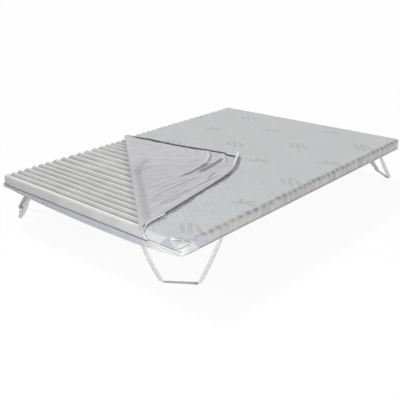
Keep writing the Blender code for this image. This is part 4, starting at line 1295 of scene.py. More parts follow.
def open_path():
    """Places along the open zip edge and how far the band hangs there."""
    places = near_lead() + straight((BAND_PLACES[0], -HALF_Y), (-INNER_X, -HALF_Y), (0, -1))
    drops = list(np.interp([-p[0] for p in places], [-x for x in BAND_PLACES], BAND_DROPS))
    low = BAND_DROPS[-1]
    corner = corner_points(-1, -1, 180, backwards=True)
    places += corner[1:]
    drops += [low] * (len(corner) - 1)
    side = straight((-HALF_X, -INNER_Y), (-HALF_X, LEFT_FOLD[1] - 0.014), (-1, 0))[1:]
    places += side
    drops += list(np.interp([p[1] for p in side], [-INNER_Y + 0.244, LEFT_FOLD[1] - 0.014],
                            [low, BAND_DROPS[0]]))
    drops = np.array(drops)
    kernel = np.hanning(11) / np.hanning(11).sum()
    padded = np.pad(drops, 5, mode="edge")
    drops = np.convolve(padded, kernel, mode="valid")
    drops[:8] *= np.linspace(0.15, 0.95, 8)
    return np.array(places), drops


def closed_path():
    """Places along the closed zip, from the slider round the back."""
    places = straight((-HALF_X, LEFT_FOLD[1] + 0.024), (-HALF_X, INNER_Y), (-1, 0))
    places += corner_points(-1, 1, 90, backwards=True)[1:]
    places += straight((-INNER_X, HALF_Y), (HALF_X - 0.033, HALF_Y), (0, 1))[1:]
    return np.array(places)


def hem_path():
    """Places along the front hem beside the label."""
    front = straight((HALF_X - 0.033, -HALF_Y), (FRONT_FOLD[0] + EDGE + 0.018, -HALF_Y), (0, -1))
    return np.array(near_lead() + front)


def along_path(path, out, height):
    """Points along a path at a distance out of it and a height."""
    out, height = np.broadcast_to(out, len(path)), np.broadcast_to(height, len(path))
    return np.stack([path[:, 0] + path[:, 2] * out, path[:, 1] + path[:, 3] * out, height], axis=-1)


def standing_strip(name, slot, path, out, thickness, low, high, lanes, swell=0.0, whiter_share=0.0):
    """A cloth strip that stands or hangs along a path, from one height to another."""
    low, high = (np.broadcast_to(height, len(path)).astype(float) for height in (low, high))
    run = lengths_along(path[:, :2])
    rows, cloth = [], []
    for share in np.linspace(0.0, 1.0, lanes):
        away = np.broadcast_to(out, len(path)) + swell * math.sin(math.pi * share)
        rows.append(along_path(path, away, high + (low - high) * share))
        cloth.append(np.stack([run, (high - low) * share], axis=-1))
    white = np.broadcast_to(whiter_share, (lanes, len(path)))
    piece = add_piece(name, np.array(rows), grid_faces(lanes, len(path)), slot, np.array(cloth),
                      {"whiter_share": white})
    return thicken(face_towards(piece, (*path[0, 2:], 0.0), slice(1)), thickness)


class TOPPER_OT_underside(bpy.types.Operator):
    """Make the underside cloth and the binding round its edge"""

    bl_idname = "topper.underside"
    bl_label = "Underside"

    def execute(self, context):
        inset = 0.0015
        rim = np.linspace(0.94, 1.0, 7)
        us = np.concatenate([-rim[::-1], np.linspace(-0.92, 0.92, 60), rim])
        u, v = np.meshgrid(us * (HALF_X - inset), us * (HALF_Y - inset))
        corner = CORNER - inset
        a, b = past_inner(u, v)
        run, length = np.maximum(a, b), np.maximum(np.hypot(a, b), TINY)
        shrink = np.where(length > 10 * TINY, run / length, 1.0)
        x = np.sign(u) * (np.minimum(np.abs(u), INNER_X) + np.minimum(a * shrink, corner))
        y = np.sign(v) * (np.minimum(np.abs(v), INNER_Y) + np.minimum(b * shrink, corner))
        middle = even((HALF_X - np.abs(x)) / 0.1) * even((HALF_Y - np.abs(y)) / 0.1)
        z = 0.0002 + 0.0006 * hills(x * 5.0, y * 5.0, 41) * middle
        points = np.stack([x, y, z], axis=-1)
        panel = add_piece("underside_cloth", points, grid_faces(*x.shape), "knit", points[..., :2])
        thicken(face_towards(panel, -UP, slice(1)), 0.0018)
        fit(panel, ROOT, "cover_bottom_panel")
        binding = self.binding()
        fit(binding, ROOT, "cover_bottom_binding")
        return {"FINISHED"}

    def binding(self):
        """The tape bound round the underside's edge."""
        ring = []
        for sign_x, sign_y, start in ((1, -1, -90), (1, 1, 0), (-1, 1, 90), (-1, -1, 180)):
            ring += corner_points(sign_x, sign_y, start)
        ring = np.array(ring + ring[:1])
        fine = []
        for p, q in zip(ring, ring[1:]):
            count = max(int(math.dist(p[:2], q[:2]) / 0.02), 1)
            fine += [p + (q - p) * i / count for i in range(count)]
        around, count = 10, len(fine)
        sections = []
        for x, y, out_x, out_y in fine:
            section = []
            for turn in np.linspace(0, 2 * math.pi, around, endpoint=False):
                out = -0.0006 + 0.0006 * math.copysign(abs(math.cos(turn)) ** 0.5, math.cos(turn))
                high = 0.0024 + 0.0021 * math.copysign(abs(math.sin(turn)) ** 0.5, math.sin(turn))
                section.append((x + out_x * out, y + out_y * out, high))
            sections.append(section)
        last = (count - 1) * around
        faces = grid_faces(count, around, ring=True)
        faces += [(last + j, last + (j + 1) % around, (j + 1) % around, j) for j in range(around)]
        cloth = np.meshgrid(np.linspace(0, 0.012, around), np.linspace(0, 6.7, count))
        return outward(add_piece("underside_binding", np.array(sections), faces, "tape",
                                 np.stack(cloth[::-1], axis=-1)))


class TOPPER_OT_band(bpy.types.Operator):
    """Make the slack border, the zip tape and the teeth that hang where the zip is open"""

    bl_idname = "topper.band"
    bl_label = "Hanging band"

    def execute(self, context):
        path, drops = open_path()
        run = np.arange(len(path)) * PATH_STEP
        sway = 0.0003 + 0.0009 * hills(run * 7.0, 0.0, 51)
        middle = BINDING_Z - (drops + BINDING_Z) * 0.52
        hem = 0.0015 - drops
        # The band's tape is whiter towards the near corner
        white = 0.75 * even((path[:, 0] - 0.42) / 0.15)
        border = standing_strip("hanging_border", "tape", path, sway + TAPE, TAPE, middle + GAP / 2,
                                BINDING_Z, 5, swell=0.0012, whiter_share=white)
        deep = BINDING_Z - middle
        fit(border, ROOT, "cover_bottom_border_front", "cover_bottom_border_corner",
            "cover_bottom_border_side")
        tape = standing_strip("hanging_zip_tape", "tape", path, sway + TAPE, TAPE, hem, middle - GAP / 2, 4,
                              swell=0.0004, whiter_share=white)
        deep = middle - hem
        fit(tape, ROOT, "zip_tape_lower_open")
        line = along_path(path, sway + 0.0006, 0.0006 - drops)
        teeth = beads("hanging_zip_teeth", [line], "teeth", sizes().tooth_pitch, 0.0022, 0.0022, 0.0013)
        fit(teeth, ROOT, "zip_teeth_lower_open")
        seam = along_path(path, sway + 0.0013, middle + 0.0010)
        stitch = sizes().stitch
        stitches = beads("hanging_border_stitches", [seam], "thread", stitch * 1.5, stitch, 0.0008, 0.0008)
        fit(stitches, ROOT)
        return {"FINISHED"}


def smooth_line(points, count):
    """An even curve through points."""
    points = np.asarray(points, float)
    ends = np.concatenate([[2 * points[0] - points[1]], points, [2 * points[-1] - points[-2]]])
    made = []
    for share in np.linspace(0, len(points) - 1 - TINY, count):
        i, t = int(share), share - int(share)
        p0, p1, p2, p3 = ends[i:i + 4]
        made.append(0.5 * (2 * p1 + (p2 - p0) * t + (2 * p0 - 5 * p1 + 4 * p2 - p3) * t ** 2
                           + (3 * p1 - p0 - 3 * p2 + p3) * t ** 3))
    return np.array(made)


# The hem's way from the top, over the edge and down the wall, at each end of the fold
HEM_CURLS = {
    "front": ((0.4300, -0.8355, 0.0715), (0.4310, -0.8700, 0.0705), (0.4318, -0.9025, 0.0700),
              (0.4325, -0.9218, 0.0695), (0.4353, -0.9440, 0.0690), (0.4405, -0.9616, 0.0680),
              (0.4480, -0.9790, 0.0660), (0.4540, -0.9925, 0.0610), (0.4580, -1.0005, 0.0530),
              (0.4585, -1.0022, 0.0430), (0.4605, -1.0022, 0.0320), (0.4670, -1.0022, 0.0225),
              (0.4770, -1.0018, 0.0160)),
    "side": ((-0.6000, -0.0240, 0.0642), (-0.6450, -0.0290, 0.0640), (-0.6760, -0.0320, 0.0628),
             (-0.6935, -0.0330, 0.0585), (-0.7015, -0.0335, 0.0450), (-0.7020, -0.0320, 0.0310),
             (-0.7020, -0.0260, 0.0215), (-0.7014, -0.0160, 0.0165)),
}


def lines_beside(line, lanes):
    """Lines of points beside a line on the folded cloth, each at its own inset and height."""
    along, reach, inward = line
    made = []
    for inset, height in lanes:
        spot = np.stack([along, reach], axis=-1) + inward * np.broadcast_to(inset, along.shape)[:, None]
        made.append(over_cover(spot[:, 0], spot[:, 1], np.broadcast_to(height, along.shape)))
    return np.array(made)


class TOPPER_OT_zip(bpy.types.Operator):
    """Make the closed zip, the zip of the folded corner and the hems that curl over the edge"""

    bl_idname = "topper.zip"
    bl_label = "Zip"

    def execute(self, context):
        back, front = closed_path(), hem_path()
        strips = (("closed_tape_lower", "zip_tape_lower_closed", back, 0.0048, 0.0082),
                  ("closed_tape_upper", "zip_tape_upper_back", back, 0.0115, 0.0132),
                  ("hem_tape_front", "zip_tape_upper_front", front, 0.0115, 0.0132))
        for name, node, path, low, high in strips:
            plain = name == "hem_tape_front"
            run_out = even((np.arange(len(path)) + 1.0) / 7.0) if plain else 1.0
            strip = standing_strip(name, "tape", path, 0.0006 * plain, TAPE, low - 0.0087 * plain,
                                   low + (high - low) * run_out - 0.0060 * plain * (1.0 - run_out), 3,
                                   whiter_share=0.85 * plain)
            fit(strip, ROOT, node)
        rows = (("closed_teeth_lower", "zip_teeth_lower_closed", back, 0.0091),
                ("closed_teeth_upper", "zip_teeth_upper_back", back, 0.0106),
                ("hem_teeth_front", "zip_teeth_upper_front", front, 0.0106))
        for name, node, path, height in rows:
            line = along_path(path, -TAPE / 2 - 0.0012 * (name == "hem_teeth_front"), height)
            row = beads(name, [line], "teeth", sizes().tooth_pitch, 0.0021, 0.0020, 0.0012)
            fit(row, ROOT, node)
        self.flap_side()
        self.flap_front()
        for word, points in HEM_CURLS.items():
            self.curl(word, points)
        return {"FINISHED"}

    def flap_side(self):
        """The tape that stands up behind the folded corner's far edge, and its teeth."""
        along = np.linspace(FOLD_ZIP_ALONG[1], FOLD_ZIP_ALONG[-1], 180)
        reach = zip_out(along)
        line = (along, reach, inward_ways(along, reach))
        top = lift_of(along, reach) + LINING_DEPTH + LINING
        room = np.clip((0.0120 + 0.087 * reach - top) / 0.0072, 0.25, 1.0)
        lanes = ((-0.0090, top + 0.0002), (-0.0040, top + 0.0050 * room), (0.0000, top + 0.0072 * room),
                 (0.0040, top + 0.0045 * room), (0.0080, top + 0.0004))
        # Painted shadow: the shaded mark turns the middle of the tape near black, as the dark line of shadow
        # behind the far edge
        shaded = np.array([0.0, 0.1, 0.9, 0.9, 0.7])[:, None] * even(run_share(along, reach) / 0.10)
        self.flap_tape("side", line, lanes, shaded, "flap_lining_cloth")
        rows = lines_beside(line, ((0.0086, top + 0.0014 * room), (0.0066, top + 0.0034 * room),
                                   (0.0040, top + 0.0058 * room)))
        self.flap_teeth("side", [row[first:] for row, first in zip(rows, (0, 10, 30))], 0.0030)

    def flap_front(self):
        """The tape that hangs out raggedly at the folded corner's near edge, and its teeth."""
        line = edge_line(*EDGE_SPANS["front"], 180)
        along, reach, _ = line
        level = 0.0034 + 0.0004 * ripple(along * 36.0, 3.0, 61)
        run = run_share(along, reach)
        ragged = 0.016 + 0.010 * ripple(along * 26.0, 3.0, 64) + 0.004 * ripple(along * 80.0, 8.0, 65)
        ragged = np.maximum(ragged, 0.003) * even(run / 0.08) * even((1 - run) / 0.20)
        lanes = ((0.0070, level), (0.0020, level), (-0.4 * ragged, level * 0.6), (-ragged, 0.0012))
        # Painted shadow: the shaded mark turns the ragged tape near black, as the shadow beside the folded
        # corner's near edge
        shaded = np.array([0.9, 0.95, 0.85, 0.5])[:, None] * np.ones(len(along))
        self.flap_tape("front", line, lanes, shaded, "cover_knit")
        shown = 0.0080 * even((along - 1.30) / 0.08)
        jags = [base + sway * ripple(along * 85.0, 8.0, seed) + shown
                for base, sway, seed in ((0.0022, 0.0030, 62), (0.0058, 0.0040, 63))]
        rows = lines_beside(line, [(-jag, level + 0.0006) for jag in jags])
        self.flap_teeth("front", list(rows), 0.0034)

    def flap_tape(self, word, line, lanes, shaded, below):
        """A tape from lanes beside a line on the folded cloth."""
        rows = lines_beside(line, lanes)
        run = lengths_along(np.stack(line[:2], axis=-1))
        steps = np.linalg.norm(np.diff(rows, axis=0), axis=2)
        deep = np.concatenate([np.zeros((1, len(run))), np.cumsum(steps, axis=0)])
        cloth = np.stack(np.broadcast_arrays(run, deep), axis=-1)
        tape = add_piece(f"flap_{word}_tape", rows, grid_faces(len(rows), len(run)), "tape", cloth,
                         {"shaded": shaded})
        thicken(face_towards(tape, UP), 0.0010)
        fit(tape, FLAP, "flap_zip_tape_" + word)

    def flap_teeth(self, word, rows, height):
        """Rows of teeth on such a tape."""
        teeth = beads(f"flap_{word}_teeth", rows, "teeth", sizes().tooth_pitch, 0.0026, 0.0030, height)
        fit(teeth, FLAP, "flap_zip_teeth_" + word)

    def curl(self, word, points):
        """The hem that climbs from the wall over the top edge at one end of the fold."""
        front = word == "front"
        line = smooth_line(points, 60)
        face = np.array([0.0, -1.0, 0.0]) if front else np.array([-1.0, 0.0, 0.0])
        away = HALF_Y + line[:, 1] if front else HALF_X + line[:, 0]
        turn = np.arcsin(np.clip((EDGE - away) / EDGE, 0.0, 1.0))
        out = face * np.sin(turn)[:, None] + UP * np.cos(turn)[:, None]
        across = np.cross(np.gradient(line, axis=0), out)
        across /= np.linalg.norm(across, axis=1, keepdims=True)
        tape = ribbon_piece("hem_curl_" + word, line, out, across, 0.0095, "tape", 0.0011, 7, 0.0022,
                            {"whiter_share": 0.8 if front else 0.2})
        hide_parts("zip_tape_curl_" + word)
        side = 1.0 if across[0, 0] + across[0, 1] > 0 else -1.0
        edge = line + across * 0.0050 * side - out * 0.0004
        teeth = beads("hem_curl_teeth_" + word, [edge], "teeth", sizes().tooth_pitch, 0.0022, 0.0020, 0.0014)
        for piece in (tape, teeth):
            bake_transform(piece)


class TOPPER_OT_slider(bpy.types.Operator):
    """Make the zip's slider and its pull tab, and give the end stops the metal look"""

    bl_idname = "topper.slider"
    bl_label = "Slider and stops"

    def execute(self, context):
        low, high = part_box("zip_slider")
        bridge, plate = 0.0030, 0.0010
        y0, y1 = low.y, high.y
        outline = [(low.x, y0 + 0.0012), (low.x + 0.0003, y0), (high.x - 0.0003, y0), (high.x, y0 + 0.0012),
                   (high.x, y1), (high.x - plate, y1), (high.x - plate, y0 + bridge),
                   (low.x + plate, y0 + bridge), (low.x + plate, y1), (low.x, y1)]
        sections = []
        for share in np.linspace(0.0, 1.0, 7):
            z = low.z + (high.z - low.z) * share
            pinch = 0.0016 * (2 * share - 1) ** 4
            section = []
            for x, y in outline:
                at_tail, at_nose = y > y0 + bridge + 0.001, y < y0 + 0.001
                section.append((x, y - pinch * at_tail + pinch * 0.5 * at_nose, z))
            sections.append(section)
        points, faces = capped_tube(sections)
        slider = soften(outward(add_piece("slider_body", points, faces, "zip_metal", flat=True)), 0.0002)
        fit(slider, "zip_slider", "zip_slider")

        low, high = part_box("zip_pull_tab")
        middle, half = (low.z + high.z) / 2, (high.z - low.z) / 2
        length = high.y - low.y
        ring = []
        for share, width in ((0.0, 0.62), (0.06, 0.78), (0.2, 0.72), (0.45, 0.62), (0.7, 0.86), (0.88, 1.0),
                             (0.96, 0.9), (1.0, 0.6)):
            ring.append((low.y + length * share, half * width))
        outline = [(y, middle + w) for y, w in ring] + [(y, middle - w) for y, w in reversed(ring)]
        hole = [(low.y + length * 0.80 + 0.0022 * math.cos(t), middle + 0.0013 * math.sin(t))
                for t in np.linspace(0, 2 * math.pi, 16, endpoint=False)]
        work = bmesh.new()
        edges = []
        for loop in (outline, hole):
            verts = [work.verts.new((low.x, y, z)) for y, z in loop]
            edges += [work.edges.new((verts[i], verts[(i + 1) % len(verts)])) for i in range(len(verts))]
        bmesh.ops.triangle_fill(work, use_beauty=True, edges=edges)
        made = bmesh.ops.extrude_face_region(work, geom=work.faces[:])
        for vert in [v for v in made["geom"] if isinstance(v, bmesh.types.BMVert)]:
            vert.co.x = high.x
        bmesh.ops.recalc_face_normals(work, faces=work.faces[:])
        tab = add_piece("pull_tab_plate", [(0, 0, 0), (0, 0, 1), (0, 1, 0)], [(0, 1, 2)], "zip_metal")
        work.to_mesh(tab.data)
        work.free()
        tab.data.materials.clear()
        tab.data.materials.append(look_of("zip_metal"))
        fit(soften(tab, 0.00022), "zip_pull_tab", "zip_pull_tab")
        for word in ("zip_end_stop_front", "zip_end_stop_back"):
            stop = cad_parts[word].data
            stop.materials.clear()
            stop.materials.append(look_of("zip_metal"))
        return {"FINISHED"}


# The straps and the label


# How far in from the cover's outline the straps' middle lies, and the radius of their bends
STRAP_INSET = 0.00095
STRAP_BEND = 0.006


def strap_rows(reach, foot, tab_drop, bend):
    """Edge places of one leg in its own wall: (near edge, far edge, depth near, depth far)."""
    rows = []
    top = tab_drop + 0.0004
    for depth in np.linspace(top, STRAP_DROP - STRAP_BEND, 22):
        share = depth / STRAP_DROP
        place = reach + (foot - reach) * share ** bend
        slope = bend * (foot - reach) * share ** (bend - 1) / STRAP_DROP
        run = np.array([slope, -1.0]) / math.hypot(slope, 1.0)
        ease = min(1.0, (depth - top) / 0.020, (STRAP_DROP - STRAP_BEND - depth) / 0.030)
        across = np.array([-run[1], run[0] * max(ease, 0.0)])
        half = STRAP_WIDTH / 2 * (1.0 if ease >= 1.0 else 1.0 / abs(across[0]) * (1 - ease) + ease)
        rows.append((place - across[0] * half, place + across[0] * half,
                     -depth - across[1] * half, -depth + across[1] * half))
    return rows


class TOPPER_OT_straps(bpy.types.Operator):
    """Make the four corner straps, their sewn ends and their bar tacks"""

    bl_idname = "topper.straps"
    bl_label = "Corner straps"

    def execute(self, context):
        for word, sign_x, sign_y in (("front_left", -1, -1), ("front_right", 1, -1),
                                     ("back_left", -1, 1), ("back_right", 1, 1)):
            self.strap(word, sign_x, sign_y)
            self.fixings(word, sign_x, sign_y)
        return {"FINISHED"}

    def strap(self, word, sign_x, sign_y):
        """One corner's strap: down one side, under the mattress's corner and up the other side."""
        def at(from_side, from_end, height):
            return (sign_x * (HALF_X - from_side), sign_y * (HALF_Y - from_end), height)

        end_rows, side_rows = (strap_rows(*leg[1:]) for leg in STRAP_ENDS)
        near, far = end_rows[-1][:2]
        side_near, side_far = side_rows[-1][:2]
        under, inner = -STRAP_DROP - 0.00075, STRAP_INSET + STRAP_BEND
        turns = [(STRAP_INSET + STRAP_BEND * (1 - math.cos(turn)),
                  -STRAP_DROP + STRAP_BEND - (STRAP_BEND + 0.00075) * math.sin(turn))
                 for turn in np.radians((25, 50, 75))]
        starts = np.array([at(near, inner, under), at(far, inner, under)])
        stops = np.array([at(inner, side_near, under), at(inner, side_far, under)])
        lines = [(at(a, STRAP_INSET, low), at(b, STRAP_INSET, high)) for a, b, low, high in end_rows]
        lines += [(at(near, inset, drop), at(far, inset, drop)) for inset, drop in turns]
        lines += [starts + (stops - starts) * share for share in np.linspace(0.06, 0.94, 12)]
        lines += [(at(inset, side_near, drop), at(inset, side_far, drop)) for inset, drop in reversed(turns)]
        lines += [(at(STRAP_INSET, a, low), at(STRAP_INSET, b, high))
                  for a, b, low, high in reversed(side_rows)]
        lines = np.array(lines)
        shares = np.linspace(0.0, 1.0, 6)
        points = lines[:, None, 0] + (lines[:, None, 1] - lines[:, None, 0]) * shares[None, :, None]
        run = lengths_along(lines.mean(axis=1))
        cloth = np.stack(np.meshgrid(shares * STRAP_WIDTH, run), axis=-1)
        strap = add_piece("strap_" + word, points, grid_faces(len(lines), 6), "elastic", cloth)
        outward(thicken(strap, STRAP_THICKNESS, 0.0))
        fit(strap, "corner_strap_" + word, "corner_strap_" + word)

    def fixings(self, word, sign_x, sign_y):
        """One strap's two sewn ends and the zigzag bar tacks that hold them."""
        shares = np.linspace(0.0, 1.0, 6)
        for leg, reach, _, drop, _ in STRAP_ENDS:
            def at(place, inset, height):
                from_side, from_end = (place, inset) if leg == "end" else (inset, place)
                return (sign_x * (HALF_X - from_side), sign_y * (HALF_Y - from_end), height)

            heights = np.linspace(-0.0004, -drop, 6)
            points = [[at(reach + STRAP_WIDTH * (s - 0.5), STRAP_INSET, z) for s in shares] for z in heights]
            cloth = np.stack(np.meshgrid(shares * STRAP_WIDTH, -heights), axis=-1)
            end = add_piece(f"strap_end_{leg}_{word}", points, grid_faces(6, 6), "elastic", cloth)
            outward(thicken(end, STRAP_THICKNESS, 0.0))
            fit(end, ROOT, f"strap_tab_{leg}_{word}")
            zigzag = [at(reach - 0.0120 + 0.0010 * i, 0.0022, -0.0030 - 0.0022 * (i % 2)) for i in range(25)]
            tack = beads(f"bar_tack_{leg}_{word}", [zigzag], "thread", 0.0011, 0.0014, 0.0006, 0.0006)
            fit(tack, ROOT, f"strap_tack_{leg}_{word}")


# Height of the wall's upper end, and the thickness of the label's cloths
WALL_RISE = 0.0295
SATIN = 0.0008
# The patch's folds: middle, slope, width, height and reach
LABEL_FOLDS = (
    ((-0.040, 0.066), 0.05, 0.0036, 0.0056, 0.050), ((-0.034, 0.052), 0.14, 0.0032, 0.0062, 0.050),
    ((-0.028, 0.045), 0.16, 0.0026, -0.0016, 0.050), ((0.026, 0.052), -0.12, 0.0034, 0.0052, 0.045),
    ((0.000, 0.034), 0.30, 0.0050, 0.0034, 0.040), ((0.050, 0.032), -0.60, 0.0040, 0.0028, 0.030),
    ((-0.040, 0.022), 0.80, 0.0040, 0.0026, 0.030), ((0.010, 0.014), 0.10, 0.0050, 0.0024, 0.050))


def label_cloth(name, slot, span, edges, lift, folds=()):
    """A cloth laid over the near corner, between two slanted ends and two edges that may slope."""
    share, level = np.meshgrid(np.linspace(0.0, 1.0, 120), np.linspace(0.0, 1.0, 56))
    low, high = edges
    (start_low, start_high), (stop_low, stop_high) = span
    start = start_low + (start_high - start_low) * level
    stop = stop_low + (stop_high - stop_low) * level
    place = start + (stop - start) * share
    high = np.interp(place, high[0], high[1])
    rise = low + (high - low) * level
    run = np.where(rise < WALL_RISE, WALL_START + 1.0 - rise / WALL_RISE, WALL_START - (rise - WALL_RISE))
    turn = np.clip((place + CORNER) / (2 * CORNER), 0.0, 1.0)
    beside, beyond = np.minimum(2 * turn, 1.0), np.minimum(2 - 2 * turn, 1.0)
    u = INNER_X + np.minimum(place + CORNER, 0.0) + run * beside
    v = -INNER_Y + np.maximum(place - CORNER, 0.0) - run * beyond
    spots = drape(u, v, 0.0)
    out = drape(u, v, -0.001) - spots
    out /= np.maximum(np.linalg.norm(out, axis=-1, keepdims=True), TINY)
    raised, dark = np.full(place.shape, lift), np.zeros(place.shape)
    for middle, slope, width, height, reach in folds:
        away = rise - middle[1] - slope * (place - middle[0]) + 5.0 * (place - middle[0]) ** 2
        near = bell(place - middle[0], reach)
        raised += height * bell(away, width) * near
        # Painted shade under each high fold of the patch
        dark = np.maximum(dark, bell(away + 1.1 * width, 0.55 * width) * near * (height > 0.0030))
    rim = even(np.minimum(np.minimum(share, 1 - share) * 30, np.minimum(level, 1 - level) * 16))
    raised = lift + (raised - lift) * rim
    piece = add_piece(name, spots + out * raised[..., None], grid_faces(*place.shape), slot,
                      np.stack([place, rise], axis=-1), {"painted_fold_shade": dark * rim})
    return thicken(face_towards(piece, out[0, 0], slice(1)), SATIN)


class TOPPER_OT_label(bpy.types.Operator):
    """Make the ribbon and the plain satin patch of the corner label"""

    bl_idname = "topper.label"
    bl_label = "Label"

    def execute(self, context):
        edge = ((-0.150, 0.0, 0.080, 0.153), (0.047, 0.050, 0.052, 0.038))
        ribbon = label_cloth("label_ribbon_cloth", "label_ribbon", ((-0.144, -0.094), (0.153, 0.153)),
                             (0.0035, edge), 0.0011)
        fit(ribbon, ROOT, "badge_ribbon")
        edge = ((-0.100, -0.050, 0.0, 0.040, 0.100), (0.061, 0.070, 0.058, 0.056, 0.050))
        patch = label_cloth("label_satin_patch", "label_satin", ((-0.046, -0.098), (0.098, 0.046)),
                            (0.0010, edge), 0.0026, LABEL_FOLDS)
        fit(patch, ROOT, "badge_patch")
        return {"FINISHED"}


# The studio


CAMERA_PLACE = Vector((2.3786, -2.7644, 1.2279))
CAMERA_TURN = math.radians(43.919)
CAMERA_DIP = math.radians(21.756)
CAMERA_ROLL = math.radians(-1.515)
CAMERA_LENS, CAMERA_FILM = 57.82, 36.0
CAMERA_SHIFT = (0.0529, 0.0022)
# Each light's name, kind, place, energy, spread in degrees or metres, and colour
WHITE = (1.0, 1.0, 1.0)
LIGHTS = (("studio_key", "SUN", (-2.6, 0.9, 1.9), 2.65, 7.0, WHITE),
          ("studio_fill", "AREA", (1.35, -2.25, 0.40), 13.0, 0.9, WHITE),
          ("studio_side", "SUN", (2.4, -0.3, 1.0), 1.25, 12.0, (1.0, 0.965, 0.92)))


def studio_camera():
    """The camera of the photograph, worked out from the cover's four top corners."""
    made = bpy.data.objects.new("studio_camera", bpy.data.cameras.new("studio_camera"))
    turn = Matrix.Rotation(CAMERA_TURN, 3, "Z") @ Matrix.Rotation(math.pi / 2 - CAMERA_DIP, 3, "X")
    made.matrix_world = Matrix.LocRotScale(CAMERA_PLACE, turn @ Matrix.Rotation(CAMERA_ROLL, 3, "Z"), None)
    made.data.lens, made.data.sensor_width = CAMERA_LENS, CAMERA_FILM
    made.data.shift_x, made.data.shift_y = CAMERA_SHIFT
    made.data.clip_end = 60.0
    bpy.context.scene.collection.objects.link(made)
    bpy.context.scene.camera = made
    return made


def seen_rays(tree):
    """1 for the rays that see plain white: the camera's and those of shine and glass."""
    path = tree.nodes.new("ShaderNodeLightPath")
    seen = path.outputs["Is Camera Ray"]
    for word in ("Is Glossy Ray", "Is Transmission Ray"):
        both = tree.nodes.new("ShaderNodeMath")
        both.operation = "MAXIMUM"
        tree.links.new(seen, both.inputs[0])
        tree.links.new(path.outputs[word], both.inputs[1])
        seen = both.outputs[0]
    return seen


def studio_world(strength):
    """Even white light, and a plain white for the camera."""
    world = bpy.data.worlds.new("studio_world")
    world.use_nodes = True
    tree = world.node_tree
    light = tree.nodes["Background"]
    light.inputs["Color"].default_value = (*WHITE, 1.0)
    light.inputs["Strength"].default_value = strength
    seen = tree.nodes.new("ShaderNodeBackground")
    seen.inputs["Color"].default_value = (*WHITE, 1.0)
    seen.inputs["Strength"].default_value = 1.0
    pick = tree.nodes.new("ShaderNodeMixShader")
    tree.links.new(seen_rays(tree), pick.inputs[0])
    tree.links.new(light.outputs[0], pick.inputs[1])
    tree.links.new(seen.outputs[0], pick.inputs[2])
    tree.links.new(pick.outputs[0], tree.nodes["World Output"].inputs["Surface"])
    bpy.context.scene.world = world


def studio_floor(height, size, white):
    """A white floor that keeps a soft shadow."""
    mesh = bpy.data.meshes.new("studio_floor")
    corners = [(size / 2 * x, size / 2 * y, height) for x, y in ((-1, -1), (1, -1), (1, 1), (-1, 1))]
    mesh.from_pydata(corners, [], [(0, 1, 2, 3)])
    made = bpy.data.objects.new("studio_floor", mesh)
    bpy.context.scene.collection.objects.link(made)
    material = bpy.data.materials.new("studio_floor")
    material.use_nodes = True
    tree = material.node_tree
    tree.nodes.remove(tree.nodes["Principled BSDF"])
    matt = tree.nodes.new("ShaderNodeBsdfDiffuse")
    matt.inputs["Color"].default_value = (*colours().floor, 1.0)
    glow = tree.nodes.new("ShaderNodeEmission")
    glow.inputs["Color"].default_value = (*WHITE, 1.0)
    glow.inputs["Strength"].default_value = 1.0
    share = tree.nodes.new("ShaderNodeMath")
    share.operation = "MULTIPLY"
    share.inputs[1].default_value = white
    pick = tree.nodes.new("ShaderNodeMixShader")
    tree.links.new(seen_rays(tree), share.inputs[0])
    tree.links.new(share.outputs[0], pick.inputs[0])
    tree.links.new(matt.outputs[0], pick.inputs[1])
    tree.links.new(glow.outputs[0], pick.inputs[2])
    tree.links.new(pick.outputs[0], tree.nodes["Material Output"].inputs["Surface"])
    mesh.materials.append(material)
    return made


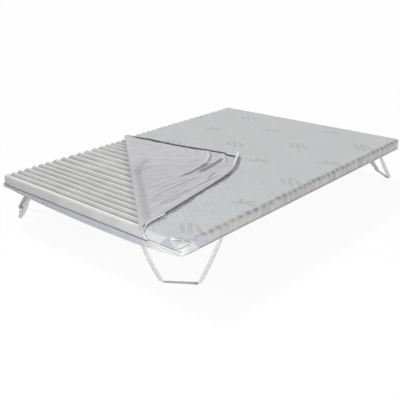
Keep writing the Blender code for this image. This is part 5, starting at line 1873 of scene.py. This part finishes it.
def studio_light(name, kind, place, energy, spread, colour):
    """A light that shines at the middle of the topper."""
    data = bpy.data.lights.new(name, kind)
    data.energy = energy
    data.color = colour
    if kind == "SUN":
        data.angle = math.radians(spread)
    else:
        data.shape, data.size = "DISK", spread
    made = bpy.data.objects.new(name, data)
    made.location = place
    made.rotation_euler = (-Vector(place)).to_track_quat("-Z", "Y").to_euler()
    made.visible_camera = False
    bpy.context.scene.collection.objects.link(made)
    return made


class TOPPER_OT_stage(bpy.types.Operator):
    """Make the white studio, its lights and its camera"""

    bl_idname = "topper.stage"
    bl_label = "Studio"

    def execute(self, context):
        studio_camera()
        studio_world(0.34)
        floor = studio_floor(-STRAP_DROP - 0.0030, 30.0, 0.93)
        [studio_light(*light) for light in LIGHTS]
        context.scene.view_settings.view_transform = "Standard"
        return {"FINISHED"}


# The add-on


PIECE_OPERATORS = ("foam", "cover", "flap", "underside", "band", "zip", "slider", "straps", "label",
                   "stage")


class TOPPER_PT_panel(bpy.types.Panel):
    """Sizes, colours and buttons of the topper."""

    bl_idname = "TOPPER_PT_panel"
    bl_label = "Mattress topper"
    bl_space_type = "VIEW_3D"
    bl_region_type = "UI"
    bl_category = "Topper"

    def draw(self, context):
        layout = self.layout
        for title, group in (("Sizes", sizes()), ("Colours", colours())):
            box = layout.box()
            box.label(text=title)
            for word in group.__annotations__:
                box.prop(group, word)
        column = layout.column(align=True)
        for word in PIECE_OPERATORS:
            column.operator("topper." + word)


CLASSES = (TopperSizes, TopperColours, TOPPER_OT_foam, TOPPER_OT_cover, TOPPER_OT_flap,
           TOPPER_OT_underside, TOPPER_OT_band, TOPPER_OT_zip, TOPPER_OT_slider, TOPPER_OT_straps,
           TOPPER_OT_label, TOPPER_OT_stage, TOPPER_PT_panel)


def register():
    for made in CLASSES:
        bpy.utils.register_class(made)
    bpy.types.Scene.topper_sizes = bpy.props.PointerProperty(type=TopperSizes)
    bpy.types.Scene.topper_colours = bpy.props.PointerProperty(type=TopperColours)


def unregister():
    del bpy.types.Scene.topper_colours
    del bpy.types.Scene.topper_sizes
    for made in reversed(CLASSES):
        bpy.utils.unregister_class(made)


def main():
    register()
    for word in PIECE_OPERATORS:
        getattr(bpy.ops.topper, word)()


if __name__ == "__main__":
    main()
